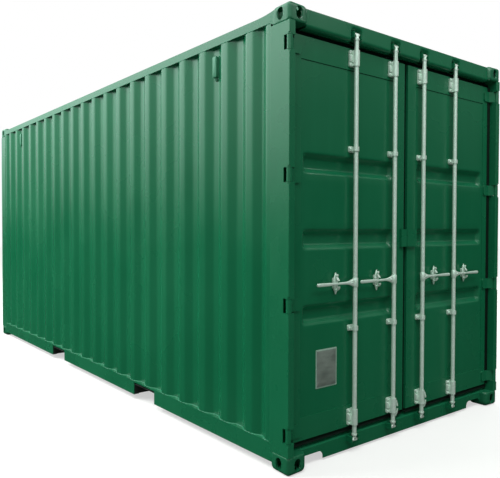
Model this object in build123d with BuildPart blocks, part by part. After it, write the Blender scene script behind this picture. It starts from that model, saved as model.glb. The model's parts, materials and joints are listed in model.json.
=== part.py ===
from build123d import *
import os
from math import atan, degrees

# A steel shipping container, twenty feet long and high cube, with two hinged doors at its rear end.
# The origin is at the middle of the base. X points to the right as seen by someone facing the doors,
# Y runs from the door end to the closed front end, and Z points up. All sizes are in millimetres.
# A "depth" is a distance behind the rear plane, which is the outer face of the rear corner castings.

LEFT = -1
RIGHT = 1

# Overall box
length = 6058.0
width = 2438.0
height = 2896.0

# Corner castings
casting_length = 178.0
casting_width = 162.0
casting_height = 118.0
casting_wall = 16.0
casting_lock_wall = 28.0
casting_inner_wall = 12.0
casting_rounding = 18.0
lock_slot_length = 124.0
lock_slot_width = 63.5
lashing_slot_height = 80.0
lashing_slot_width = 52.0

# Corner posts, the front pair as wide as their castings
rear_post_face = 49.0
post_wall = 6.0
post_rounding = 4.0

# Side rails
side_inset = 3.0
top_rail_width = 60.0
top_rail_height = 58.0
top_rail_drop = 36.0
bottom_rail_width = 48.0
bottom_rail_height = 122.0
bottom_rail_low = 50.0
rail_wall = 4.5

# Corrugated side walls
sheet = 2.0
side_edge_flat = 44.0
side_crest = 72.0
side_slope = 68.0
side_end_valley = 2.0
side_wave_depth = 36.0
side_least_pitch = 277.0

# Corrugated front wall
front_inset = 6.0
front_edge_flat = 40.0
front_crest = 110.0
front_slope = 24.0
front_end_valley = 60.0
front_wave_depth = 45.0
front_crest_count = 9

# Front rails
front_top_rail_depth = 64.0
front_rail_wall = 4.0

# Roof
roof_side_inset = 20.0
roof_rib_length = 2160.0
roof_rib_width = 140.0
roof_rib_top = 96.0
roof_rib_height = 18.0
roof_rib_count = 26
roof_end_margin = 60.0

# Floor and base
frame_low = 16.0
floor_thickness = 28.0
floor_gap = 2.0
cross_member_flange = 45.0
cross_member_wall = 4.0
rear_member_count = 4
middle_member_count = 5
front_member_count = 6

# Fork pockets, measured from the rear plane
pocket_rear_centre = 1845.0
pocket_front_centre = 3867.0
pocket_width = 360.0
pocket_top = 158.0
pocket_wall = 5.0

# Header over the doors
header_drop = 11.0
header_height = 118.0
header_face_depth = 25.0
header_wall = 5.0
header_lip_height = 22.0
header_lip_depth = 118.0
header_cap_height = 47.0
cam_pocket_gap = 2.0

# Sill under the doors
sill_slope_drop = 34.0
sill_slope_fall = 26.0
sill_slope_depth = 114.0
sill_step_depth = 118.0
sill_wall = 5.0
sill_cutout_width = 205.0
sill_cutout_high = 68.0
sill_cutout_rounding = 40.0

# Door leaves
leaf_depth = 62.0
leaf_thickness = 50.0
leaf_jamb_gap = 6.0
leaf_middle_edge = 20.0
leaf_low_gap = 3.0
leaf_top_gap = 15.0
stile_width = 100.0
top_member_height = 143.0
bottom_member_height = 145.0
member_wall = 3.2
panel_setback = 4.0
wave_count = 3
wave_spacing = 485.0
wave_height = 128.0
wave_floor_height = 64.0
wave_depth = 36.0
wave_side_margin = 22.0

# Door gaskets
gasket_depth = 84.0
gasket_jamb_gap = 2.0
gasket_middle_edge = 6.0
gasket_bottom_reach = 27.0
gasket_top_reach = 32.0

# Hinges
hinge_count = 4
hinge_bottom_margin = 73.0
hinge_top_margin = 80.0
pin_inset = 18.0
pin_radius = 9.0
pin_clearance = 0.1
knuckle_clearance = 2.0
notch_height = 90.0
notch_depth = 52.0
lug_thickness = 12.0
blade_thickness = 10.0
blade_bend = 80.0
blade_reach = 149.0
blade_rounding = 20.0

# Lock rods
rod_places = (588.0, 172.0)
rod_names = ("outer", "inner")
rod_radius = 17.0
rod_wall = 3.0
rod_depth = 28.0
rod_low = 82.0
rod_top_drop = 68.0
rod_clearance = 0.3

# Cams on the rod ends and the keepers that hold them
cam_height = 30.0
fluke_reach = 26.0
fluke_thickness = 16.0
keeper_seat_depth = 64.0
keeper_height = 40.0
keeper_plate = 6.0
keeper_arm = 12.0
keeper_arm_gap = 6.0
keeper_front_depth = 14.0

# Rod brackets on the doors
bracket_plate = 6.0
bracket_wall = 5.0
bearing_width = 80.0
bearing_height = 109.0
bearing_block_width = 46.0
bearing_margin = 13.0
guide_width = 74.0
guide_height = 42.0
guide_below_handle = 309.5
guide_below_leaf_top = 673.5

# Handles and their retainers
handle_height = 1158.0
handle_length = 362.0
handle_bar_height = 24.0
handle_bar_thickness = 12.0
hub_radius = 24.0
hub_height = 62.0
hub_neck_length = 86.0
hub_neck_thickness = 18.0
hub_clearance = 0.05
retainer_reach = 172.0
retainer_width = 56.0
retainer_below = 70.0
retainer_above = 74.0
retainer_plate = 6.0
retainer_strip = 6.0
retainer_strip_width = 40.0
retainer_bend = 14.0
retainer_bar_gap = 3.0
retainer_front_depth = 16.0

# Lock plates that cover the gap between the doors
lock_plate_reaches = (66.0, 118.0)
lock_plate_gap = 6.0
lock_plate_height = 128.0
lock_plate_thickness = 8.0
lock_plate_standoff = 10.0

# Side ventilators
vent_crest_count = 2
vent_width = 56.0
vent_height = 171.0
vent_top_gap = 57.0
vent_stand = 31.0
vent_wall = 3.0
vent_slope_drop = 24.0

# Places that follow from the sizes above
half_width = width / 2
half_length = length / 2
rear = -half_length
jamb = half_width - rear_post_face
casting_inner_x = half_width - casting_width
inner_depth = casting_length
post_low = casting_height
post_high = height - casting_height
top_rail_high = height - top_rail_drop
top_rail_low = top_rail_high - top_rail_height
bottom_rail_high = bottom_rail_low + bottom_rail_height
header_high = height - header_drop
header_low = header_high - header_height
header_lip_low = header_low - header_lip_height
cam_pocket_high = header_high - header_cap_height
sill_slope_high = bottom_rail_high - sill_slope_drop
sill_slope_low = sill_slope_high - sill_slope_fall
leaf_low = bottom_rail_high + leaf_low_gap
leaf_high = header_lip_low - leaf_top_gap
leaf_middle = (leaf_low + leaf_high) / 2
leaf_back_depth = leaf_depth + leaf_thickness
panel_depth = leaf_depth + panel_setback
leaf_jamb_edge = jamb - leaf_jamb_gap
leaf_width = leaf_jamb_edge - leaf_middle_edge
leaf_height = leaf_high - leaf_low
wall_span = length - 2 * casting_length
side_crest_count = int((wall_span - 2 * side_edge_flat) // side_least_pitch)
floor_low = bottom_rail_high - floor_thickness
gasket_low = leaf_low - gasket_bottom_reach
gasket_high = leaf_high + gasket_top_reach
rod_high = height - rod_top_drop
rod_middle = (rod_low + rod_high) / 2
hinge_low = leaf_low + hinge_bottom_margin
hinge_pitch = (leaf_high - hinge_top_margin - hinge_low) / (hinge_count - 1)
hinge_heights = [hinge_low + number * hinge_pitch for number in range(hinge_count)]
guide_heights = (handle_height - guide_below_handle, leaf_high - guide_below_leaf_top)
vent_high = top_rail_low - vent_top_gap
vent_low = vent_high - vent_height
pin_x = half_width - pin_inset
keeper_half_width = fluke_reach + keeper_arm_gap + keeper_arm
pocket_half_width = keeper_half_width + cam_pocket_gap
slope_height = wave_height - wave_floor_height

os.makedirs("parts", exist_ok=True)


def save(node, name):
    """Name one finished piece and write its file."""
    node.part.label = name
    export_step(node.part, f"parts/{name}.step")


def facing_in(depth):
    """Plane parallel to the doors at a depth, with its normal pointing into the container."""
    return Plane(origin=(0, rear + depth, 0), x_dir=(1, 0, 0), z_dir=(0, 1, 0))


def facing_out(depth):
    """Plane parallel to the doors at a depth, with its normal pointing out of the container."""
    return Plane(origin=(0, rear + depth, 0), x_dir=(1, 0, 0), z_dir=(0, -1, 0))


def block(low, high, mode=Mode.ADD):
    """Box between two corners, added to or cut from the piece being built."""
    size = [b - a for a, b in zip(low, high)]
    centre = [(a + b) / 2 for a, b in zip(low, high)]
    with Locations(tuple(centre)):
        Box(*size, mode=mode)


def corrugation(span, edge_flat, end_valley, crest, slope, count):
    """Break points of a pressed sheet along its span, as pairs of place and level, 0 on a crest."""
    slopes = 2 * (count + 1) * slope
    valley = (span - 2 * edge_flat - 2 * end_valley - count * crest - slopes) / (count - 1)
    points = [(-span / 2, 0)]
    place = -span / 2 + edge_flat
    for wave in range(count + 1):
        floor = end_valley if wave in (0, count) else valley
        points += [(place, 0), (place + slope, 1)]
        points += [(place + slope + floor, 1), (place + 2 * slope + floor, 0)]
        place += 2 * slope + floor + crest
    points.append((span / 2, 0))
    return points


# Corner castings: hollow blocks with a slot for a twist lock and two slots for lashing gear
def corner_castings(name, low, lock_face):
    """Four castings at one level; lock_face is -1 with the lock slot underneath and 1 with it on top."""
    centre_x = half_width - casting_width / 2
    centre_y = half_length - casting_length / 2
    centre_z = low + casting_height / 2
    cavity_x = casting_width - casting_wall - casting_inner_wall
    cavity_y = casting_length - casting_wall - casting_inner_wall
    cavity_z = casting_height - casting_lock_wall - casting_inner_wall
    lean = (casting_wall - casting_inner_wall) / 2
    lean_z = (casting_lock_wall - casting_inner_wall) / 2
    with BuildPart() as castings:
        with Locations((centre_x, centre_y, centre_z)):
            Box(casting_width, casting_length, casting_height)
        by_level = castings.edges().group_by(Axis.Z)
        welded_edges = by_level[-1] if lock_face < 0 else by_level[0]
        fillet(castings.edges() - welded_edges, casting_rounding)
        with Locations((centre_x - lean, centre_y - lean, centre_z - lock_face * lean_z)):
            Box(cavity_x, cavity_y, cavity_z, mode=Mode.SUBTRACT)
        with BuildSketch(Plane.XY.offset(centre_z)):
            with Locations((centre_x, centre_y)):
                SlotOverall(lock_slot_length, lock_slot_width, rotation=90)
        extrude(amount=lock_face * casting_height, mode=Mode.SUBTRACT)
        with BuildSketch(Plane.YZ.offset(centre_x)):
            with Locations((centre_y, centre_z)):
                SlotOverall(lashing_slot_height, lashing_slot_width, rotation=90)
        extrude(amount=casting_width, mode=Mode.SUBTRACT)
        with BuildSketch(Plane.XZ.offset(-centre_y)):
            with Locations((centre_x, centre_z)):
                SlotOverall(lashing_slot_height, lashing_slot_width, rotation=90)
        extrude(amount=-casting_length, mode=Mode.SUBTRACT)
        mirror(about=Plane.YZ)
        mirror(about=Plane.XZ)
    save(castings, name)


corner_castings("bottom_corner_castings", 0, -1)
corner_castings("top_corner_castings", height - casting_height, 1)


# Corner posts: box sections as deep as the castings, the rear pair notched where the hinges turn
def corner_posts(name, face, centre_y, hinged):
    with BuildPart() as posts:
        with BuildSketch(Plane.XY.offset(post_low)):
            with Locations((half_width - face / 2, centre_y)):
                RectangleRounded(face, casting_length, post_rounding)
                offset(amount=-post_wall, kind=Kind.INTERSECTION, mode=Mode.SUBTRACT)
        extrude(amount=post_high - post_low)
        if hinged:
            opening = notch_height + 2 * lug_thickness
            for level in hinge_heights:
                with Locations((half_width - face / 2, rear + notch_depth / 2, level)):
                    Box(face, notch_depth, opening, mode=Mode.SUBTRACT)
        mirror(about=Plane.YZ)
    save(posts, name)


corner_posts("rear_posts", rear_post_face, rear + casting_length / 2, True)
corner_posts("front_posts", casting_width, half_length - casting_length / 2, False)

# Hinge lugs: plates that close the post above and below each hinge and carry its pin
with BuildPart() as hinge_lugs:
    for level in hinge_heights:
        for lug_base in (level - notch_height / 2 - lug_thickness, level + notch_height / 2):
            with BuildSketch(Plane.XY.offset(lug_base)):
                with Locations((half_width - rear_post_face / 2, rear + notch_depth / 2)):
                    lug_plate = Rectangle(rear_post_face, notch_depth)
                outer_corner = lug_plate.vertices().sort_by(Axis.X)[-2:].sort_by(Axis.Y)[0]
                fillet(outer_corner, pin_inset)
                with Locations((pin_x, rear + pin_inset)):
                    Circle(pin_radius + pin_clearance, mode=Mode.SUBTRACT)
            extrude(amount=lug_thickness)
    mirror(about=Plane.YZ)
save(hinge_lugs, "hinge_lugs")

# Header: a box across the top of the doorway, its lower lip reaching between the posts
with BuildPart() as door_header:
    with BuildSketch(Plane.YZ.offset(-casting_inner_x)):
        with Locations((rear + (keeper_seat_depth + inner_depth) / 2, (header_low + header_high) / 2)):
            Rectangle(inner_depth - keeper_seat_depth, header_high - header_low)
            offset(amount=-header_wall, kind=Kind.INTERSECTION, mode=Mode.SUBTRACT)
    extrude(amount=2 * casting_inner_x)
    block((-jamb, rear + header_lip_depth, header_lip_low), (jamb, rear + inner_depth, header_low + header_wall))
save(door_header, "door_header")

# Header face: hollow boxes in front of the header that leave an open pocket for the cam of each rod
pocket_centres_x = sorted(side * place for side in (LEFT, RIGHT) for place in rod_places)


def header_outlines(inset):
    """Corner points of the boxes between the cam pockets, drawn in by an inset on every side."""
    outlines = []
    for start, end in zip([-casting_inner_x] + pocket_centres_x, pocket_centres_x + [casting_inner_x]):
        box_start = inset + (start if start == -casting_inner_x else start + pocket_half_width)
        box_end = (end if end == casting_inner_x else end - pocket_half_width) - inset
        outlines.append([(box_start, header_low + inset), (box_start, cam_pocket_high - inset),
                         (box_end, cam_pocket_high - inset), (box_end, header_low + inset)])
    return outlines


with BuildPart() as header_face:
    with BuildSketch(facing_out(keeper_seat_depth)):
        for outline in header_outlines(0):
            with BuildLine():
                Polyline(*outline, close=True)
            make_face()
    extrude(amount=keeper_seat_depth - header_face_depth)
    with BuildSketch(facing_out(keeper_seat_depth)):
        for outline in header_outlines(header_wall):
            with BuildLine():
                Polyline(*outline, close=True)
            make_face()
    extrude(amount=keeper_seat_depth - header_face_depth - header_wall, mode=Mode.SUBTRACT)
save(header_face, "header_face_boxes")

with BuildPart() as header_cap:
    with BuildSketch(Plane.YZ.offset(-casting_inner_x)):
        with Locations((rear + (header_face_depth + keeper_seat_depth) / 2, (cam_pocket_high + header_high) / 2)):
            Rectangle(keeper_seat_depth - header_face_depth, header_cap_height)
            offset(amount=-header_wall, kind=Kind.INTERSECTION, mode=Mode.SUBTRACT)
    extrude(amount=2 * casting_inner_x)
save(header_cap, "header_cap")

# Sill: a threshold with a sloped top, open underneath, notched over the castings and cut away beside them
with BuildPart() as door_sill:
    with BuildSketch(Plane.YZ.offset(-jamb)):
        with BuildLine():
            Polyline((rear + keeper_seat_depth, frame_low), (rear + keeper_seat_depth, sill_slope_low),
                     (rear + sill_slope_depth, sill_slope_high), (rear + sill_step_depth, bottom_rail_high),
                     (rear + inner_depth, bottom_rail_high), (rear + inner_depth, frame_low), close=True)
        make_face()
        offset(amount=-sill_wall, kind=Kind.INTERSECTION, mode=Mode.SUBTRACT)
        with Locations((rear + (keeper_seat_depth + inner_depth) / 2, frame_low + sill_wall / 2)):
            Rectangle(inner_depth - keeper_seat_depth - 2 * sill_wall, sill_wall, mode=Mode.SUBTRACT)
    extrude(amount=2 * jamb)
    for side in (LEFT, RIGHT):
        with Locations((side * half_width, rear + inner_depth / 2, casting_height / 2)):
            Box(2 * casting_width, inner_depth, casting_height, mode=Mode.SUBTRACT)
        with BuildSketch(facing_out(inner_depth)):
            with Locations((side * (casting_inner_x - sill_cutout_width / 2), sill_cutout_high / 2)):
                arch = Rectangle(sill_cutout_width, sill_cutout_high)
            fillet(arch.vertices().group_by(Axis.Y)[-1], sill_cutout_rounding)
        extrude(amount=inner_depth, mode=Mode.SUBTRACT)
save(door_sill, "door_sill")

# Front rails: box sections between the front castings
with BuildPart() as front_top_rail:
    with BuildSketch(Plane.YZ.offset(-casting_inner_x)):
        with Locations((half_length - front_inset - front_top_rail_depth / 2, (post_high + top_rail_high) / 2)):
            Rectangle(front_top_rail_depth, top_rail_high - post_high)
            offset(amount=-front_rail_wall, kind=Kind.INTERSECTION, mode=Mode.SUBTRACT)
    extrude(amount=2 * casting_inner_x)
save(front_top_rail, "front_top_rail")

with BuildPart() as front_bottom_rail:
    front_rail_depth = casting_length - front_inset
    with BuildSketch(Plane.YZ.offset(-casting_inner_x)):
        with Locations((half_length - front_inset - front_rail_depth / 2, (frame_low + bottom_rail_high) / 2)):
            Rectangle(front_rail_depth, bottom_rail_high - frame_low)
            offset(amount=-front_rail_wall, kind=Kind.INTERSECTION, mode=Mode.SUBTRACT)
    extrude(amount=2 * casting_inner_x)
save(front_bottom_rail, "front_bottom_rail")

# Side rails: a box section along the roof and an open channel along the floor
with BuildPart() as top_side_rails:
    with BuildSketch(Plane.XZ.offset(-wall_span / 2)):
        with Locations((half_width - side_inset - top_rail_width / 2, (top_rail_low + top_rail_high) / 2)):
            Rectangle(top_rail_width, top_rail_high - top_rail_low)
            offset(amount=-rail_wall, kind=Kind.INTERSECTION, mode=Mode.SUBTRACT)
    extrude(amount=wall_span)
    mirror(about=Plane.YZ)
save(top_side_rails, "top_side_rails")

pocket_centres = (rear + pocket_rear_centre, rear + pocket_front_centre)
with BuildPart() as bottom_side_rails:
    rail_outer = half_width - side_inset
    rail_inner = rail_outer - bottom_rail_width
    with BuildSketch(Plane.XZ.offset(-wall_span / 2)):
        with BuildLine():
            Polyline((rail_inner, bottom_rail_low), (rail_outer, bottom_rail_low),
                     (rail_outer, bottom_rail_high), (rail_inner, bottom_rail_high),
                     (rail_inner, bottom_rail_high - rail_wall), (rail_outer - rail_wall, bottom_rail_high - rail_wall),
                     (rail_outer - rail_wall, bottom_rail_low + rail_wall), (rail_inner, bottom_rail_low + rail_wall),
                     close=True)
        make_face()
    extrude(amount=wall_span)
    for centre in pocket_centres:
        block((rail_inner, centre - pocket_width / 2, 0), (half_width, centre + pocket_width / 2, pocket_top),
              Mode.SUBTRACT)
    mirror(about=Plane.YZ)
save(bottom_side_rails, "bottom_side_rails")


# Corrugated walls: pressed sheet, its crests outermost
side_levels = corrugation(wall_span, side_edge_flat, side_end_valley, side_crest, side_slope, side_crest_count)


def side_wall(name, side):
    face = half_width - side_inset
    outer = [(side * (face - level * side_wave_depth), place) for place, level in side_levels]
    inner = [(side * (face - sheet - level * side_wave_depth), place) for place, level in side_levels]
    with BuildPart() as wall:
        with BuildSketch(Plane.XY.offset(bottom_rail_high)):
            with BuildLine():
                Polyline(*outer, *reversed(inner), close=True)
            make_face()
        extrude(amount=top_rail_low - bottom_rail_high)
    save(wall, name)


side_wall("left_side_wall", LEFT)
side_wall("right_side_wall", RIGHT)

with BuildPart() as front_wall:
    front_face = half_length - front_inset
    front_span = 2 * casting_inner_x
    levels = corrugation(front_span, front_edge_flat, front_end_valley, front_crest, front_slope, front_crest_count)
    outer = [(place, front_face - level * front_wave_depth) for place, level in levels]
    inner = [(place, front_face - sheet - level * front_wave_depth) for place, level in levels]
    with BuildSketch(Plane.XY.offset(bottom_rail_high)):
        with BuildLine():
            Polyline(*outer, *reversed(inner), close=True)
        make_face()
    extrude(amount=post_high - bottom_rail_high)
save(front_wall, "front_wall")

# Roof: flat sheet with raised cross ribs whose ends are pressed shut
with BuildPart() as roof:
    roof_half_width = half_width - roof_side_inset
    block((-roof_half_width, -wall_span / 2, top_rail_high), (roof_half_width, wall_span / 2, top_rail_high + sheet))
    rib_pitch = (wall_span - 2 * roof_end_margin - roof_rib_width) / (roof_rib_count - 1)
    rib_taper = degrees(atan((roof_rib_width - roof_rib_top) / 2 / roof_rib_height))
    with BuildSketch(Plane.XY.offset(top_rail_high + sheet)):
        with GridLocations(rib_pitch, rib_pitch, 1, roof_rib_count):
            Rectangle(roof_rib_length, roof_rib_width)
    extrude(amount=roof_rib_height, taper=rib_taper)
    with BuildSketch(Plane.XY.offset(top_rail_high)):
        with GridLocations(rib_pitch, rib_pitch, 1, roof_rib_count):
            Rectangle(roof_rib_length - 2 * sheet, roof_rib_width - 2 * sheet)
    extrude(amount=roof_rib_height, taper=rib_taper, mode=Mode.SUBTRACT)
save(roof, "roof")

# Front header plate: carries the roof's level on to the front rail, between the castings
with BuildPart() as front_header_plate:
    block((-casting_inner_x, wall_span / 2, top_rail_high),
          (casting_inner_x, half_length - front_inset, top_rail_high + sheet))
save(front_header_plate, "front_header_plate")

# Floor boards on steel cross members, with two lift-truck pockets across the base
with BuildPart() as floor_boards:
    floor_half = half_width - side_inset - bottom_rail_width - floor_gap
    block((-floor_half, rear + inner_depth + floor_gap, floor_low),
          (floor_half, half_length - casting_length - floor_gap, bottom_rail_high))
save(floor_boards, "floor_boards")

with BuildPart() as fork_pockets:
    pocket_half_length = half_width - side_inset - rail_wall
    pocket_outer = pocket_width / 2 + pocket_wall
    with BuildSketch(Plane.YZ.offset(-pocket_half_length)):
        for centre in pocket_centres:
            with BuildLine():
                Polyline((centre - pocket_outer, bottom_rail_low + rail_wall), (centre - pocket_outer, floor_low),
                         (centre + pocket_outer, floor_low), (centre + pocket_outer, bottom_rail_low + rail_wall),
                         (centre + pocket_width / 2, bottom_rail_low + rail_wall),
                         (centre + pocket_width / 2, floor_low - pocket_wall),
                         (centre - pocket_width / 2, floor_low - pocket_wall),
                         (centre - pocket_width / 2, bottom_rail_low + rail_wall), close=True)
            make_face()
    extrude(amount=2 * pocket_half_length)
save(fork_pockets, "fork_pockets")

with BuildPart() as cross_members:
    bay_edges = (rear + inner_depth, pocket_centres[0] - pocket_outer, pocket_centres[0] + pocket_outer,
                 pocket_centres[1] - pocket_outer, pocket_centres[1] + pocket_outer, half_length - casting_length)
    bay_counts = (rear_member_count, middle_member_count, front_member_count)
    member_low = bottom_rail_low + rail_wall
    with BuildSketch(Plane.YZ.offset(-pocket_half_length)):
        for start, end, count in zip(bay_edges[::2], bay_edges[1::2], bay_counts):
            spacing = (end - start) / (count + 1)
            for number in range(1, count + 1):
                web = start + number * spacing - cross_member_flange / 2
                tip = web + cross_member_flange
                with BuildLine():
                    Polyline((web, member_low), (tip, member_low), (tip, member_low + cross_member_wall),
                             (web + cross_member_wall, member_low + cross_member_wall),
                             (web + cross_member_wall, floor_low - cross_member_wall),
                             (tip, floor_low - cross_member_wall), (tip, floor_low), (web, floor_low), close=True)
                make_face()
    extrude(amount=2 * pocket_half_length)
save(cross_members, "cross_members")

# Ventilators: small hoods in the valleys of the side walls, open underneath
with BuildPart() as side_ventilators:
    vent_foot = half_width - side_inset - side_wave_depth
    valley_start, valley_end = side_levels[4 * vent_crest_count + 2], side_levels[4 * vent_crest_count + 3]
    vent_place = (valley_start[0] + valley_end[0]) / 2
    for centre in (vent_place, -vent_place):
        with BuildSketch(Plane.XZ.offset(-centre - vent_width / 2)):
            with BuildLine():
                Polyline((vent_foot, vent_low), (vent_foot + vent_stand, vent_low + vent_slope_drop),
                         (vent_foot + vent_stand, vent_high - vent_slope_drop), (vent_foot, vent_high), close=True)
            make_face()
        extrude(amount=vent_width)
        inner_width = vent_width - 2 * vent_wall
        with BuildSketch(Plane.XZ.offset(-centre - inner_width / 2)):
            with BuildLine():
                Polyline((vent_foot + vent_wall, vent_low), (vent_foot + vent_stand - vent_wall, vent_low),
                         (vent_foot + vent_stand - vent_wall, vent_high - 2 * vent_slope_drop),
                         (vent_foot + vent_wall, vent_high - 2 * vent_slope_drop), close=True)
            make_face()
        extrude(amount=inner_width, mode=Mode.SUBTRACT)
    mirror(about=Plane.YZ)
save(side_ventilators, "side_ventilators")

# Cam keepers: forks that stand on both sides of each cam, open to the front
with BuildPart() as cam_keepers:
    arm_inner = keeper_half_width - keeper_arm
    plate_front = keeper_seat_depth - keeper_plate
    for side in (LEFT, RIGHT):
        for place in rod_places:
            for base in (rod_low + (cam_height - keeper_height) / 2, rod_high - (cam_height + keeper_height) / 2):
                outline = ((keeper_half_width, keeper_front_depth), (keeper_half_width, keeper_seat_depth),
                           (-keeper_half_width, keeper_seat_depth), (-keeper_half_width, keeper_front_depth),
                           (-arm_inner, keeper_front_depth), (-arm_inner, plate_front),
                           (arm_inner, plate_front), (arm_inner, keeper_front_depth))
                corners = [(side * place + across, rear + depth) for across, depth in outline]
                with BuildSketch(Plane.XY.offset(base)):
                    with BuildLine():
                        Polyline(*corners, close=True)
                    make_face()
                extrude(amount=keeper_height)
save(cam_keepers, "cam_keepers")


# Door leaves: a welded frame of hollow members round a pressed panel, sealed by a rubber gasket
def door_frame(name, side):
    """Two upright stiles of one leaf, and the members that join them at top and bottom."""
    middle_depth = rear + leaf_depth + leaf_thickness / 2
    with BuildPart() as stiles:
        with BuildSketch(Plane.XY.offset(leaf_low)):
            for centre in (leaf_jamb_edge - stile_width / 2, leaf_middle_edge + stile_width / 2):
                with Locations((side * centre, middle_depth)):
                    Rectangle(stile_width, leaf_thickness)
                    Rectangle(stile_width - 2 * member_wall, leaf_thickness - 2 * member_wall, mode=Mode.SUBTRACT)
        extrude(amount=leaf_height)
    save(stiles, f"{name}_stiles")
    inner_edge = leaf_middle_edge + stile_width
    outer_edge = leaf_jamb_edge - stile_width
    with BuildPart() as members:
        with BuildSketch(Plane.YZ.offset(min(side * inner_edge, side * outer_edge))):
            for low, high in ((leaf_low, leaf_low + bottom_member_height), (leaf_high - top_member_height, leaf_high)):
                with Locations((middle_depth, (low + high) / 2)):
                    Rectangle(leaf_thickness, high - low)
                    Rectangle(leaf_thickness - 2 * member_wall, high - low - 2 * member_wall, mode=Mode.SUBTRACT)
        extrude(amount=outer_edge - inner_edge)
    save(members, f"{name}_cross_bars")


def door_panel(name, side):
    """Pressed sheet of one leaf with three long recesses."""
    inner_edge = leaf_middle_edge + stile_width
    outer_edge = leaf_jamb_edge - stile_width
    centre_x = side * (inner_edge + outer_edge) / 2
    panel_low = leaf_low + bottom_member_height
    panel_high = leaf_high - top_member_height
    wave_length = outer_edge - inner_edge - 2 * wave_side_margin
    wave_taper = degrees(atan(slope_height / 2 / wave_depth))
    with BuildPart() as panel:
        with BuildSketch(facing_in(panel_depth)):
            with Locations((centre_x, -(panel_low + panel_high) / 2)):
                Rectangle(outer_edge - inner_edge, panel_high - panel_low)
        extrude(amount=sheet)
        with BuildSketch(facing_in(panel_depth + sheet)):
            with Locations((centre_x, -leaf_middle)):
                with GridLocations(wave_spacing, wave_spacing, 1, wave_count):
                    Rectangle(wave_length + 2 * sheet, wave_height + 2 * sheet)
        extrude(amount=wave_depth - sheet, taper=wave_taper)
        with BuildSketch(facing_in(panel_depth)):
            with Locations((centre_x, -leaf_middle)):
                with GridLocations(wave_spacing, wave_spacing, 1, wave_count):
                    Rectangle(wave_length, wave_height)
        extrude(amount=wave_depth - sheet, taper=wave_taper, mode=Mode.SUBTRACT)
    save(panel, f"{name}_panel")


def door_gasket(name, side):
    """Rubber seal round the edge of one leaf."""
    outer_edge = jamb - gasket_jamb_gap
    with BuildPart() as gasket:
        with BuildSketch(facing_in(gasket_depth)):
            with Locations((side * (outer_edge + gasket_middle_edge) / 2, -(gasket_low + gasket_high) / 2)):
                Rectangle(outer_edge - gasket_middle_edge, gasket_high - gasket_low)
            with Locations((side * (leaf_jamb_edge + leaf_middle_edge) / 2, -(leaf_low + leaf_high) / 2)):
                Rectangle(leaf_width, leaf_height, mode=Mode.SUBTRACT)
        extrude(amount=leaf_back_depth - gasket_depth)
    save(gasket, f"{name}_gasket")


def hinge_blades(name, side):
    """Four hinge blades welded to the face of one leaf, each with its knuckle and pin."""
    pin = (side * pin_x, rear + pin_inset)
    bend = (side * (half_width - blade_bend), rear + leaf_depth - blade_thickness / 2)
    tip_x = side * (half_width - blade_reach)
    turned_height = notch_height - 2 * knuckle_clearance
    pin_length = notch_height + 2 * lug_thickness - knuckle_clearance
    with BuildPart() as blades:
        for level in hinge_heights:
            with BuildSketch(Plane.XY.offset(level - turned_height / 2)):
                with BuildLine() as blade_path:
                    Polyline(pin, bend, (tip_x, bend[1]))
                trace(blade_path.line, line_width=blade_thickness)
                with Locations(pin):
                    Circle(pin_inset)
            extrude(amount=turned_height)
            with Locations((pin[0], pin[1], level)):
                Cylinder(pin_radius, pin_length)
        ends = blades.edges().filter_by(Axis.Y).group_by(Axis.X)
        fillet(ends[0] if side == RIGHT else ends[-1], blade_rounding)
    save(blades, f"{name}_hinge_blades")


def rod_brackets(name, side):
    """Bearings at the top and bottom of both rods of one leaf, and two guides between them."""
    bearing_centres = (leaf_low + bearing_margin + bearing_height / 2, leaf_high - bearing_margin - bearing_height / 2)
    fittings = [(centre, bearing_width, bearing_height, leaf_depth) for centre in bearing_centres]
    fittings += [(centre, guide_width, guide_height, panel_depth) for centre in guide_heights]
    block_front = rod_depth - rod_radius - rod_clearance - bracket_wall
    with BuildPart() as brackets:
        for place in rod_places:
            for centre, plate_width, plate_height, seat in fittings:
                plate_front = seat - bracket_plate
                with BuildSketch(Plane.XY.offset(centre - plate_height / 2)):
                    with Locations((side * place, rear + plate_front + bracket_plate / 2)):
                        Rectangle(plate_width, bracket_plate)
                    with Locations((side * place, rear + (block_front + plate_front) / 2)):
                        RectangleRounded(bearing_block_width, plate_front - block_front, bracket_wall)
                    with Locations((side * place, rear + plate_front - bracket_wall)):
                        Rectangle(bearing_block_width, 2 * bracket_wall)
                    with Locations((side * place, rear + rod_depth)):
                        Circle(rod_radius + rod_clearance, mode=Mode.SUBTRACT)
                extrude(amount=plate_height)
    save(brackets, f"{name}_rod_brackets")


def handle_retainers(name, side):
    """Brackets that the two handles of one leaf rest in: a back plate, a bent seat and a leaning leaf."""
    bar_low = handle_height - handle_bar_height / 2 - retainer_bar_gap
    bar_high = handle_height + handle_bar_height / 2 + retainer_bar_gap
    plate_middle = rear + panel_depth - retainer_plate / 2
    strip_front = rear + retainer_front_depth + retainer_strip / 2
    seat_low = handle_height - retainer_below + retainer_width / 2
    leaf_top = handle_height + retainer_above - retainer_width / 2
    with BuildPart() as retainers:
        for place in rod_places:
            centre = side * (place + retainer_reach)
            with BuildSketch(facing_out(panel_depth)):
                with Locations((centre, handle_height + (retainer_above - retainer_below) / 2)):
                    SlotOverall(retainer_above + retainer_below, retainer_width, rotation=90)
            extrude(amount=retainer_plate)
            with BuildSketch(Plane.YZ.offset(centre - retainer_strip_width / 2)):
                with BuildLine() as seat_path:
                    FilletPolyline((plate_middle, seat_low), (strip_front, seat_low), (strip_front, bar_low),
                                   radius=retainer_bend)
                trace(seat_path.line, line_width=retainer_strip)
                with BuildLine() as leaf_path:
                    Line((plate_middle, leaf_top), (strip_front, bar_high + retainer_strip))
                trace(leaf_path.line, line_width=retainer_strip)
            extrude(amount=retainer_strip_width)
    save(retainers, f"{name}_handle_retainers")


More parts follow.
